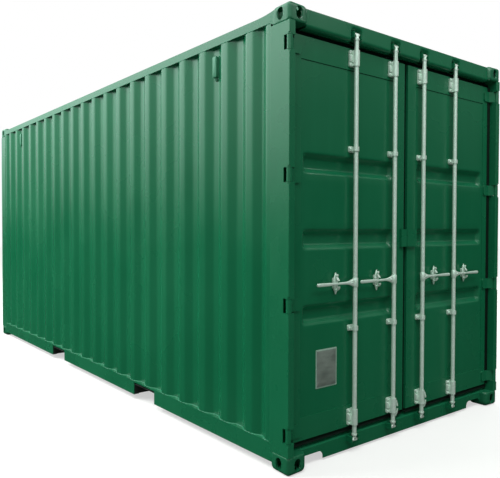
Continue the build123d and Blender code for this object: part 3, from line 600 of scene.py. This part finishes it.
def rivets(centres, radius, axes=TO_VIEWER):
    """Low domes."""
    dome = radius * np.array([(1, 0), (0.92, 0.3), (0.6, 0.6), (0, 0.72)])
    return turned(dome, centres, axes, 12)


# %% [markdown]
# A lock rod is a thick tube with a forged cam welded on each end. The cam's two arms hook behind a
# keeper on the frame, so its section goes from the tube's circle to a flat bar with wide arms at the
# very end.

# %% Lock rods
rod_radius = 0.0152
cam_reach, cam_half, cam_foot = 0.0275, 0.008, 0.034
collar_radius, collar_gap = rod_radius + 0.0035, 0.008
collar_section = [(rod_radius, -0.006), (collar_radius, -0.005), (collar_radius, 0.005), (rod_radius, 0.006)]
for side_name in SIDES:
    for place in PLACES:
        node_name = f"{side_name}_{place}_rod"
        low, high = box(node_name)
        centre = np.append(rod_axis(side_name, place), 0)
        foot, head = low[2] + cam_foot, high[2] - cam_foot
        tube = turned([(0, foot), (rod_radius, foot), (rod_radius, head), (0, head)], [centre])
        collars = turned(collar_section, centre + [[0, 0, foot + collar_gap], [0, 0, head - collar_gap]])
        cams = []
        for end, way in ((low[2], 1), (high[2], -1)):
            stations = [(end, 0, 0, 2), (end, cam_reach - 0.003, 0.006, 3),
                        (end + way * 0.002, cam_reach, cam_half, 4),
                        (end + way * 0.012, cam_reach, cam_half, 4),
                        (end + way * 0.015, 0.019, cam_half + 0.002, 3),
                        (end + way * 0.024, 0.0135, 0.0125, 2.2),
                        (end + way * cam_foot, rod_radius, rod_radius, 2), (end + way * cam_foot, 0, 0, 2)]
            cams.append(forged(stations, [centre]))
        piece(f"{node_name}_with_cams", [tube, collars, *cams], zinc_and_painted_reflection_finish, f"{side_name}_{place}_lock_rod",
              [node_name])

# %% [markdown]
# Each rod is turned by a handle: a hub clamped round the tube, a flat shank that narrows like a
# triangle, and a round bar that thickens again towards the grip.

# %% Handles
hub_radius, hub_rim, hub_bevel = 0.0190, 0.0175, 0.003
pivot_reach, pivot_radius = 0.040, 0.0062
for side_name, side in SIDES.items():
    for place in PLACES:
        node_name = f"{side_name}_{place}_handle"
        low, high = box(node_name)
        hub = np.array([*rod_axis(side_name, place), (low[2] + high[2]) / 2])
        reach = abs((low[0] if side < 0 else high[0]) - hub[0])
        tall = (high[2] - low[2]) / 2
        outwards = np.array([[0, 0, 1.0], [0, 1, 0], [side, 0, 0]])
        collar = turned([(rod_radius, -tall), (hub_rim, -tall), (hub_radius, -tall + hub_bevel),
                         (hub_radius, tall - hub_bevel), (hub_rim, tall), (rod_radius, tall)], [hub])
        stations = [(0.012, 0, 0, 2), (0.012, tall - 0.004, 0.0085, 4), (0.022, tall - 0.005, 0.009, 4),
                    (0.040, 0.020, 0.009, 4), (0.060, 0.0135, 0.0085, 3), (0.084, 0.0098, 0.007, 2.4),
                    (0.110, 0.0084, 0.0058, 2.2), (0.200, 0.0082, 0.0056, 2.2), (0.255, 0.0108, 0.0058, 2.3),
                    (reach - 0.022, 0.0118, 0.0058, 2.4), (reach - 0.006, 0.0104, 0.005, 2.2),
                    (reach - 0.001, 0.006, 0.003, 2), (reach, 0, 0, 2)]
        pivot = bolt_heads([hub + (side * pivot_reach, -0.009, 0)], pivot_radius)
        piece(f"{node_name}_forging", [collar, forged(stations, [hub], outwards), *pivot], zinc_and_painted_reflection_finish,
              f"{side_name}_{place}_lock_rod", [node_name])

# %% [markdown]
# The rods run in bearings at the top and bottom of each leaf and in two guides between them. A fitting
# is a back plate with raised pads, bolts through the pads, and a strap bent round the rod. At the lower
# bearing of each inner rod a bow of round bar stands out from the plate.

# %% Rod brackets
bracket_plate = 0.006
strap_radius, strap_wall = 0.0215, 0.004
bearing_width, bearing_half, bearing_margin, bearing_pad = 0.084, 0.0545, 0.013, 0.010
bearing_places = np.array([[x, -bracket_plate, z] for x in (-0.0315, 0.0315) for z in (-0.042, 0, 0.042)])
corner_pads, middle_pads = [0, 2, 3, 5], [1, 4]
guide_width, guide_tall, guide_strap, guide_pad = 0.074, 0.042, 0.030, 0.009
guide_heights = (0.8485, 2.0565)
guide_places = np.array([[x, -bracket_plate, 0] for x in (-0.028, 0.028)])
bow_reach, bow_stand, bow_half, bow_radius = 0.024, 0.040, 0.072, 0.006
bow_aside, bow_drop = 0.010, 0.018


def strap(centre, seat, tall):
    """A bar bent in a U round the rod: straight legs from the seat, then half a turn in front of the rod."""
    angle = np.linspace(0, np.pi, 13)
    layers = []
    for radius in (strap_radius, strap_radius - strap_wall):
        around = np.stack([radius * np.cos(angle), -radius * np.sin(angle)], axis=-1) + centre[:2]
        legs = np.array([[centre[0] + radius, seat], [centre[0] - radius, seat]])
        line = np.concatenate([legs[:1], around, legs[1:]])
        rows = [np.column_stack([line, np.full(len(line), centre[2] + level)])
                for level in np.array([-0.5, 0.5]) * tall]
        layers.append(np.stack(rows))
    return shell(*layers)


def rod_fittings(side_name):
    """All bearings and guides of one leaf, with their plates, pads, straps and bolts, and the bow."""
    made = []
    leaf_low, leaf_high = box(f"{side_name}_door_stiles")
    panel_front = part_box(f"{side_name}_door_panel")[0].y
    inset = bearing_margin + bearing_half
    bearing_heights = (leaf_low[2] + inset, leaf_high[2] - inset)
    for place in PLACES:
        axis = rod_axis(side_name, place)
        for height in bearing_heights:
            seat = np.array([axis[0], leaf_low[1], height])
            made.append(plate(bearing_width, 2 * bearing_half, 0.008, bracket_plate, 0.002, [seat]))
            pads = seat + bearing_places
            made.append(plate(0.021, 0.025, 0.006, bearing_pad, 0.004, pads[corner_pads]))
            made.append(plate(0.023, 0.050, 0.006, 0.014, 0.005, pads[middle_pads]))
            made += bolt_heads(pads[corner_pads] + (0, -bearing_pad, 0), 0.0045)
            made.append(strap(np.array([*axis, height]), seat[1], 2 * bearing_half - 0.004))
        if place == "inner":
            swing = np.linspace(0, np.pi, 25)[:, None]
            sweep = np.hstack([bow_reach * np.sin(swing), -bow_stand * np.sin(swing) ** 0.5,
                               bow_half * np.cos(swing)])
            foot = (axis[0] + bow_aside, leaf_low[1] - bracket_plate, bearing_heights[0] - bow_drop)
            made.append(bead(sweep + foot, bow_radius))
        for height in guide_heights:
            seat = np.array([axis[0], panel_front, height])
            made.append(plate(guide_width, guide_tall, 0.010, bracket_plate, 0.002, [seat]))
            pads = seat + guide_places
            made.append(plate(0.017, 0.030, 0.007, guide_pad, 0.003, pads))
            made += bolt_heads(pads + (0, -guide_pad, 0), 0.0055)
            made.append(strap(np.array([*axis, height]), seat[1], guide_strap))
    return made


for side_name in SIDES:
    piece(f"{side_name}_rod_fittings", rod_fittings(side_name), zinc_and_painted_reflection_finish, f"{side_name}_door",
          [f"{side_name}_door_rod_brackets"])

# %% [markdown]
# A handle rests in a retainer: a pointed spindle on a block, close behind the bar, with a loop below
# the bar and a leaf above it that leans out from a knob, on which the real one swings aside.

# %% Handle retainers
retainer_reach, spindle_behind, block_width = 0.172, 0.019, 0.026
knob_section = [(0.005, 0), (0.006, 0.008), (0.009, 0.011), (0.009, 0.016), (0.005, 0.019), (0, 0.020)]


def handle_retainers(side_name, side):
    """Both retainers of one leaf: block, spindle, loop, leaf, knob and rivets, about the handle's height."""
    made = []
    low, high = box(f"{side_name}_door_handle_retainers")
    panel_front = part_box(f"{side_name}_door_panel")[0].y
    half, level = (high[2] - low[2]) / 2, (low[2] + high[2]) / 2
    tip = [(1.0, 0, 0, 2), (1.0, 0.004, 0.002, 2.5), (0.7, 0.012, 0.006, 3), (0.25, 0.021, 0.007, 3)]
    spindle = np.array([(-share, *section) for share, *section in tip] + tip[::-1]) * (half, 1, 1, 1)
    for place in PLACES:
        axis_x, axis_y = rod_axis(side_name, place)
        middle = axis_x + side * retainer_reach
        bar = box(f"{side_name}_{place}_handle")[:, 2].mean()
        back = axis_y + spindle_behind
        seat = np.array([middle, back, level])
        foot = (middle, panel_front, level)
        made.append(plate(block_width, half, 0.008, panel_front - back, 0.002, [foot]))
        made.append(forged(spindle, [seat]))
        loop = [(back, bar - 0.040), (back - 0.012, bar - 0.0425), (axis_y - 0.002, bar - 0.039),
                (axis_y - 0.010, bar - 0.030), (axis_y - 0.012, bar - 0.0175)]
        made.append(bent_strip(loop, 0.022, 0.005, middle))
        lean = [(back, bar + 0.052), (back - 0.010, bar + 0.046), (axis_y, bar + 0.031),
                (axis_y - 0.010, bar + 0.020)]
        made.append(bent_strip(lean, 0.018, 0.006, middle))
        knob = np.array([middle, back - 0.003, bar + 0.056])
        made.append(turned(knob_section, [knob], TO_VIEWER, 16))
        made.append(rivets(seat + np.array([[0, -0.005, -0.7 * half], [0, -0.005, 0.7 * half]]), 0.005))
    return made


for side_name, side in SIDES.items():
    piece(f"{side_name}_handle_catches", handle_retainers(side_name, side), zinc_and_painted_reflection_finish, f"{side_name}_door",
          [f"{side_name}_door_handle_retainers"])

# %% [markdown]
# The door's rubber is one extrusion mitred at four corners, with two soft lips that face the frame. Its
# section runs from the leaf's edge, 0, to its outer rim, 1. One more lip hangs forward and down over
# the gap at the sill, and a flat strip lies on the leaf beside the post. The lip is drawn long and the
# strip wide, so that their dark rubber also stands as painted shadow in the gaps at the sill and the post.

# %% Door gaskets
gasket_section = np.array([(0.0, 0.082), (0.35, 0.080), (0.62, 0.086), (0.8, 0.078), (1.0, 0.084),
                           (1.0, 0.092), (0.88, 0.096), (1.0, 0.102), (0.92, 0.112), (0.0, 0.112)])
lip_and_painted_shadow_section = np.array([(0.086, 0.004), (0.083, -0.010), (0.077, -0.022), (0.070, -0.034)])
lip_thickness, end_gap = 0.006, 0.004
painted_shade_strip_width, strip_thickness, strip_inset = 0.040, 0.003, 0.017


def gasket_loop(side_name):
    """The section carried round the leaf's edges: a corner point moves out by its share of the reach."""
    low, high = box(f"{side_name}_door_gasket")
    leaf_low, leaf_high = box(f"{side_name}_door_stiles")
    leaf, rim = np.stack([leaf_low, leaf_high]), np.stack([low, high])
    corners = []
    for x_end, z_end in ((0, 0), (1, 0), (1, 1), (0, 1)):
        share = gasket_section[:, 0]
        across = leaf[x_end, 0] + share * (rim[x_end, 0] - leaf[x_end, 0])
        up = leaf[z_end, 2] + share * (rim[z_end, 2] - leaf[z_end, 2])
        corners.append(np.stack([across, rear + gasket_section[:, 1], up], axis=-1))
    return patch(np.stack(corners), wrap_rows=True, wrap_columns=True)


def sill_lip_as_painted_shadow(side_name):
    """A soft flap along the leaf's bottom edge that hangs down and a little forward; its dark rubber is
    partly painted shadow.
    """
    leaf_low, leaf_high = box(f"{side_name}_door_stiles")
    path = lip_and_painted_shadow_section + (rear, leaf_low[2])
    width, middle = leaf_high[0] - leaf_low[0] - end_gap, (leaf_low[0] + leaf_high[0]) / 2
    return bent_strip(path, width, lip_thickness, middle)


def jamb_strip_as_painted_shade(side_name, side):
    """A flat strip up the leaf's hinge edge, a little proud of the stile, over the gap beside the post;
    partly painted shade.
    """
    leaf_low, leaf_high = box(f"{side_name}_door_stiles")
    outer = leaf_high[0] if side > 0 else -leaf_low[0]
    middle = np.array([side * (outer - strip_inset), leaf_low[1], (leaf_low[2] + leaf_high[2]) / 2])
    return plate(painted_shade_strip_width, leaf_high[2] - leaf_low[2] - end_gap, 0.002, strip_thickness, 0.001, [middle])


for side_name, side in SIDES.items():
    rubbers = [gasket_loop(side_name), sill_lip_as_painted_shadow(side_name), jamb_strip_as_painted_shade(side_name, side)]
    piece(f"{side_name}_door_seal", rubbers, rubber_and_painted_shade_finish, f"{side_name}_door",
          [f"{side_name}_door_gasket"])

# %% [markdown]
# A bare metal plate is riveted to the left leaf: thin sheet that has gone dull, in a paler rim whose
# pale green colour is a painted highlight along the plate's edge.

# %% Blank plate
plate_low, plate_high = np.array([-0.922, 0.480]), np.array([-0.727, 0.733])
panel_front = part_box("left_door_panel")[0].y
plate_size = plate_high - plate_low
plate_x, plate_z = (plate_low + plate_high) / 2
plate_middle = np.array([plate_x, panel_front, plate_z])
rim_width, rim_thickness, plate_thickness = 0.009, 0.0020, 0.0026
rivet_inset, rivet_radius = 0.005, 0.004
rivet_reach = plate_size / 2 - rivet_inset
rivet_places = np.array([(x * rivet_reach[0], -rim_thickness, z * rivet_reach[1])
                         for x in ENDS for z in (-1, 0, 1)])
blank = plate(*(plate_size - 2 * rim_width), 0.004, plate_thickness, 0.0004, [plate_middle])
piece("blank_plate", [blank], plate_finish, "left_door")
rim = plate(*plate_size, 0.006, rim_thickness, 0.0008, [plate_middle])
piece("blank_plate_rim", [rim, rivets(plate_middle + rivet_places, rivet_radius)], rim_with_painted_highlight_finish, "left_door")

# %% [markdown]
# Every seam of the box is a weld, laid by hand, so its bead swells a little each few millimetres. The
# beads run where the pressed sheets meet the rails, round the posts where they meet the castings, and
# up the ends of the top rails.


# %% Weld beads
def fine_line(points, step=0.012):
    """The same line with points no further apart than one step."""
    points = np.asarray(points, dtype=float)
    lengths = np.linalg.norm(np.diff(points, axis=0), axis=1)
    marks = np.concatenate([[0], np.cumsum(lengths)])
    places = np.linspace(0, marks[-1], int(marks[-1] / step) + 2)
    return np.stack([np.interp(places, marks, points[:, axis]) for axis in range(3)], axis=-1)


weld_radius = 0.006
weld_inset = 1.2 * weld_radius
weld_limit = np.array([half_width - weld_inset, half_length - weld_inset, cad_high.z])
weld_corner = 0.006
rear_face, front_face, post_depth = 0.045, 0.150, 0.165
rail_ends = [(across, along, joint_y) for across in ENDS
             for along, joint_y in ((-1, rail_low[1]), (1, rail_high[1]))]
seam_beads = [bead(fine_line(np.clip(seam, -weld_limit, weld_limit)), weld_radius) for seam in seams]
piece("wall_seam_welds", seam_beads, weld_enamel, "frame")
corner_beads = []
casting_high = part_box("bottom_corner_castings")[1].z
casting_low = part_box("top_corner_castings")[0].z
for across in ENDS:
    for along in ENDS:
        inner_x = across * (half_width - (rear_face if along < 0 else front_face))
        inner_y = along * (half_length - post_depth)
        corner_x, corner_y = across * weld_limit[0], along * weld_limit[1]
        for height in (casting_high, casting_low):
            line = [(inner_x, corner_y, height), (corner_x - across * weld_corner, corner_y, height),
                    (corner_x, corner_y - along * weld_corner, height), (corner_x, inner_y, height)]
            corner_beads.append(bead(fine_line(line), weld_radius))
for across, along, joint_y in rail_ends:
    face_x = across * weld_limit[0]
    upright = [(face_x, joint_y, rail_low[2]), (face_x, joint_y, rail_high[2])]
    corner_beads.append(bead(fine_line(upright), weld_radius, (across, 0, 0)))
piece("corner_welds", corner_beads, weld_enamel, "frame")

# %% [markdown]
# Beside each upper casting a gusset carries the rail's line up to the casting's top in a hollow curve,
# so that spreaders and ropes slide off it. Flat plates cover the joints between the bottom rails and
# the castings.

# %% Corner gussets and joint plates
gusset_length, gusset_drop, gusset_overlap, gusset_width = 0.170, 0.020, 0.042, 0.058
gusset_proud, overlap_foot, rail_foot = 0.0008, -0.012, 0.002
share = np.linspace(0, 1, 12)
gusset_top = rail_high[2] + (cad_high.z - gusset_drop - rail_high[2]) * (1 - share) ** 2
gusset_foot = rail_low[2] + np.where(share < gusset_overlap / gusset_length, overlap_foot, rail_foot)
gussets = []
for across, along, joint_y in rail_ends:
    line_y = joint_y + along * (gusset_overlap - share * gusset_length)
    sides_x = across * np.array([rail_high[0] + gusset_proud, rail_high[0] - gusset_width])
    edges = [np.stack([np.stack(np.broadcast_arrays(x, line_y, level), axis=-1) for x in sides_x], axis=1)
             for level in (gusset_top, gusset_foot)]
    gussets.append(shell(*edges))
piece("corner_gussets", gussets, rail_enamel, "frame")
base_low, base_high = box("bottom_side_rails")
joint_width, joint_tall, joint_thickness = 0.050, casting_high - base_low[2], 0.004
joint_proud, joint_overlap = 0.0005, 0.020
joint_plates = []
for across in ENDS:
    face_x = across * (base_high[0] - joint_thickness + joint_proud)
    centres = [(face_x, edge_y + along * joint_overlap, base_low[2] + joint_tall / 2)
               for along, edge_y in ((-1, base_low[1]), (1, base_high[1]))]
    joint_plates.append(plate(joint_width, joint_tall, 0.004, joint_thickness, 0.002, centres,
                              TO_SIDE[across]))
piece("rail_joint_plates", joint_plates, rail_enamel, "frame")

# %% [markdown]
# A steel casting comes out of its mould with full, soft corners. The frame's castings have tighter
# ones, so a copy of each is cut finer and drawn in: a point outside a box with rounder edges moves to
# that box's surface. The edges at the post are only bevelled, which leaves a groove for the weld.


# %% Corner castings
def finer_copy(node_name, longest):
    """A merged copy of a node's mesh in which edges over the longest are halved, five times over."""
    work = bmesh.new()
    work.from_mesh(nodes[node_name].data)
    bmesh.ops.remove_doubles(work, verts=work.verts, dist=1e-6)
    for _ in range(5):
        long_edges = [edge for edge in work.edges if edge.calc_length() > longest]
        bmesh.ops.subdivide_edges(work, edges=long_edges, cuts=1)
        bmesh.ops.triangulate(work, faces=[face for face in work.faces if len(face.verts) > 4])
    return work


casting_half = np.array([0.081, 0.089, 0.059])
tight_round, full_round = 0.026, 0.040
longest_edge, casting_crease = 0.014, 40.0
groove_depth, groove_tall = 0.004, 0.006
for level, welded_up in (("bottom", True), ("top", False)):
    node_name = f"{level}_corner_castings"
    work = finer_copy(node_name, longest_edge)
    mesh = bpy.data.meshes.new(f"{level}_castings")
    work.to_mesh(mesh)
    work.free()
    points = np.empty(len(mesh.vertices) * 3)
    mesh.vertices.foreach_get("co", points)
    points = points.reshape(-1, 3)
    corner = np.sign(points) * (half_width, half_length, 0)
    middle = corner - np.sign(points) * casting_half
    middle[:, 2] = box(node_name)[:, 2].mean()
    offset = points - middle
    inwards = (1 - np.sign(points[:, :2]) * offset[:, :2] / casting_half[:2]) / 2
    casting_round = tight_round + (full_round - tight_round) * np.clip(inwards.max(axis=1), 0, 1)[:, None]
    limit = casting_half - casting_round
    held = np.clip(offset, -limit, limit)
    keep = offset[:, 2] > 0 if welded_up else offset[:, 2] < 0
    held[keep, 2] = offset[keep, 2]
    beyond = offset - held
    reach = np.linalg.norm(beyond, axis=1)
    pulled = middle + held + beyond * np.minimum(1, casting_round[:, 0] / np.maximum(reach, 1e-9))[:, None]
    to_weld = casting_half[2] - np.abs(offset[:, 2])
    groove = np.where(keep, groove_depth * np.clip(1 - to_weld / groove_tall, 0, 1), 0)[:, None]
    pulled[:, :2] -= groove * offset[:, :2] / casting_half[:2]
    mesh.vertices.foreach_set("co", pulled.ravel())
    mesh.update()
    mesh.materials.clear()
    set_piece(mesh, casting_enamel, "frame", [node_name], casting_crease)

# %% [markdown]
# The side ventilators are small moulded hoods on the wall: a rounded box on a thin flange, with a drain
# ring at its foot.

# %% Side ventilators
vent_low, vent_high = box("side_ventilators")
vent_width, vent_tall, vent_stand = 0.050, vent_high[2] - vent_low[2], 0.026
vent_foot, vent_inset, flange_width = 0.031, 0.028, 0.062
hood_tall, hood_rise, drain_rise = vent_tall - 0.020, 0.006, 0.004 - vent_tall / 2
drain_section = [(0.006, 0), (0.011, 0), (0.012, 0.006), (0.010, 0.010), (0.006, 0.010), (0.006, 0)]
vent_middle = (vent_low[2] + vent_high[2]) / 2
vents = []
for side, axes in TO_SIDE.items():
    seats = np.array([(side * (vent_high[0] - vent_foot), edge_y, vent_middle)
                      for edge_y in (vent_low[1] + vent_inset, vent_high[1] - vent_inset)])
    vents.append(plate(vent_width, hood_tall, 0.012, vent_stand, 0.008, seats + (0, 0, hood_rise), axes))
    vents.append(plate(flange_width, vent_tall, 0.014, 0.003, 0.001, seats, axes))
    vents.append(turned(drain_section, seats + (0, 0, drain_rise), axes, 14))
piece("ventilator_hoods", vents, vent_finish, "frame", ["side_ventilators"])

# %% [markdown]
# Inside, the floor is laid from plywood sheets about a metre wide. A dark joint runs between two
# sheets, and screws hold each edge down to the cross members.

# %% Floor joints
deck_low, deck_high = box("floor_boards")
sheet_count, joint_gap, screw_step, screw_inset, screw_radius = 5, 0.005, 0.24, 0.035, 0.006
joint_y = np.linspace(deck_low[1], deck_high[1], sheet_count + 1)[1:-1]
joint_centres = np.stack([0 * joint_y, joint_y, np.full(len(joint_y), deck_high[2])], axis=-1)
joints = plate(deck_high[0] - deck_low[0], joint_gap, 0.002, 0.0006, 0.0002, joint_centres, UPRIGHT)
piece("floor_joints", [joints], tar_finish, "frame")
screw_x = np.arange(deck_low[0] + screw_inset, deck_high[0], screw_step)
screw_y = (joint_y[:, None] + screw_inset * np.array([-1, 1])).ravel()
screw_places = np.stack(np.meshgrid(screw_x, screw_y, [deck_high[2]], indexing="ij"), axis=-1).reshape(-1, 3)
screws = rivets(screw_places, screw_radius, UPRIGHT)
piece("floor_screws", [screws], zinc_and_painted_reflection_finish, "frame")

# %% [markdown]
# A plain floor, soft light and a white surround: the world is white where the camera looks at it. A
# shiny surface sees it bright to the left and brighter with height, slightly green, and dim to the
# right, as beside one long window. The floor is pale to the camera but gives back little light, so that
# undersides and gaps stay dark. Two lamps stand for the sky on the left. Others fill the doors, the
# header's underside and the unseen sides, and a soft sun stands high above.

# %% Floor and light
floor_half = 40.0
floor_mesh = bpy.data.meshes.new("floor")
floor_corners = [(x * floor_half, y * floor_half, 0) for x, y in ((-1, -1), (1, -1), (1, 1), (-1, 1))]
floor_mesh.from_pydata(floor_corners, [], [(0, 1, 2, 3)])
floor = bpy.data.objects.new("floor", floor_mesh)
floor.location.z = -0.001
scene.collection.objects.link(floor)
floor_finish, tree, shader, place = new_finish("pale studio floor")
fill(tree, shader, {"Base Color": linear("#b9bcb9"), "Roughness": 0.9, "Specular IOR Level": 0.1})
glow = node(tree, "Emission", 0, {"Color": (1, 1, 1, 1), "Strength": 0.55})
lit = node(tree, "AddShader", 0, {0: shader.outputs[0], 1: glow})
dull = node(tree, "BsdfDiffuse", 0, {"Color": linear("#7c7e7c")})
dark = node(tree, "BsdfDiffuse", 0, {"Color": linear("#2a2c2a")})
rays = node(tree, "LightPath", "Is Camera Ray", {}).node.outputs
unseen = node(tree, "MixShader", 0, {0: rays["Is Glossy Ray"], 1: dull, 2: dark})
shown = node(tree, "MixShader", 0, {0: rays["Is Camera Ray"], 1: unseen, 2: lit})
fill(tree, tree.nodes["Material Output"], {"Surface": shown})
floor_mesh.materials.append(floor_finish)

world = bpy.data.worlds.new("studio")
scene.world = world
world.use_nodes = True
tree = world.node_tree
rays = node(tree, "LightPath", "Is Camera Ray", {}).node.outputs
seen = rays["Is Camera Ray"]
shiny = node(tree, "Math", 0, {0: seen, 1: rays["Is Glossy Ray"]}, operation="MAXIMUM")
looked_at = node(tree, "Math", 0, {0: shiny, 1: rays["Is Transmission Ray"]}, operation="MAXIMUM")
heading = node(tree, "TexCoord", "Generated", {})
window_turn = np.radians(27.0)
to_window = Vector((-np.sin(window_turn), np.cos(window_turn), 0.0))
level = node(tree, "VectorMath", "Vector", {0: heading, 1: (1.0, 1.0, 0.0)}, operation="MULTIPLY")
bearing = node(tree, "VectorMath", "Vector", {0: level}, operation="NORMALIZE")
facing = node(tree, "VectorMath", "Value", {0: bearing, 1: to_window}, operation="DOT_PRODUCT")
window_tone = node(tree, "MapRange", "Result", {"Value": facing, "From Min": 0.60, "From Max": 0.93,
                                                "To Max": 0.5}, interpolation_type="SMOOTHSTEP")
leftwards = node(tree, "VectorMath", "Value", {0: heading, 1: (-1.0, 0.0, 0.0)}, operation="DOT_PRODUCT")
side_tone = node(tree, "MapRange", "Result", {"Value": leftwards, "From Min": -0.05, "From Max": 0.28,
                                              "To Min": 0.07, "To Max": 0.53},
                 interpolation_type="SMOOTHSTEP")
wall_tone = node(tree, "Math", 0, {0: window_tone, 1: side_tone}, operation="ADD")
rise = node(tree, "SeparateXYZ", "Z", {"Vector": heading})
sky_tone = node(tree, "MapRange", "Result", {"Value": rise, "From Min": 0.01, "From Max": 0.34,
                                             "To Min": 0.05, "To Max": 4.25})
mirrored = node(tree, "Math", 0, {0: wall_tone, 1: sky_tone}, operation="MULTIPLY")
bright = node(tree, "Math", 0, {0: mirrored, 1: seen}, operation="MAXIMUM")
tint = node(tree, "Mix", 2, {0: seen, 6: linear("#def2ec"), 7: (1, 1, 1, 1)}, data_type="RGBA")
white = node(tree, "Background", 0, {"Color": tint, "Strength": bright})
ambient = node(tree, "Background", 0, {"Color": linear("#f3f1ee"), "Strength": 0.405})
both = node(tree, "MixShader", 0, {0: looked_at, 1: ambient, 2: white})
fill(tree, tree.nodes["World Output"], {"Surface": both})


def soft_box(name, size, watts, place, target, mirrored=True):
    """A rectangle of light at a place, turned to face its target; gloss may show it or not."""
    light = bpy.data.lights.new(name, "AREA")
    light.shape = "RECTANGLE"
    light.size, light.size_y = size
    light.energy = watts
    lamp = bpy.data.objects.new(name, light)
    lamp.location = place
    lamp.visible_glossy = mirrored
    lamp.visible_camera = False
    lamp.rotation_mode = "QUATERNION"
    lamp.rotation_quaternion = (Vector(target) - Vector(place)).to_track_quat("-Z", "Y")
    scene.collection.objects.link(lamp)


soft_box("sky_panel", (14.0, 8.0), 1085.0, (-8.5, 7.5, 7.5), (-1.2, 0.5, 1.5), False)
soft_box("side_strip", (7.0, 1.2), 310.0, (-5.6, 2.4, 5.7), (-1.2, 0.0, 2.0), False)
soft_box("door_strip", (4.5, 0.8), 68.0, (0.5, -5.6, 5.2), (0.0, -3.0, 2.6))
soft_box("sill_bounce", (3.2, 1.0), 10.0, (0.0, -5.0, 0.05), (0.0, -3.0, 2.8), False)
soft_box("right_fill", (9.0, 4.0), 330.0, (9.0, 3.0, 5.5), (1.2, 0.5, 1.3))
soft_box("front_fill", (6.0, 4.0), 260.0, (4.0, 9.5, 5.0), (0.0, 3.0, 1.3))
top_light = bpy.data.lights.new("high_sun", "SUN")
top_light.energy = 1.2
top_light.angle = np.radians(20.0)
top = bpy.data.objects.new("high_sun", top_light)
top.rotation_mode = "QUATERNION"
top.rotation_quaternion = Vector((0.45, 0.35, -1.0)).to_track_quat("-Z", "Y")
scene.collection.objects.link(top)
scene.view_settings.view_transform = "Standard"
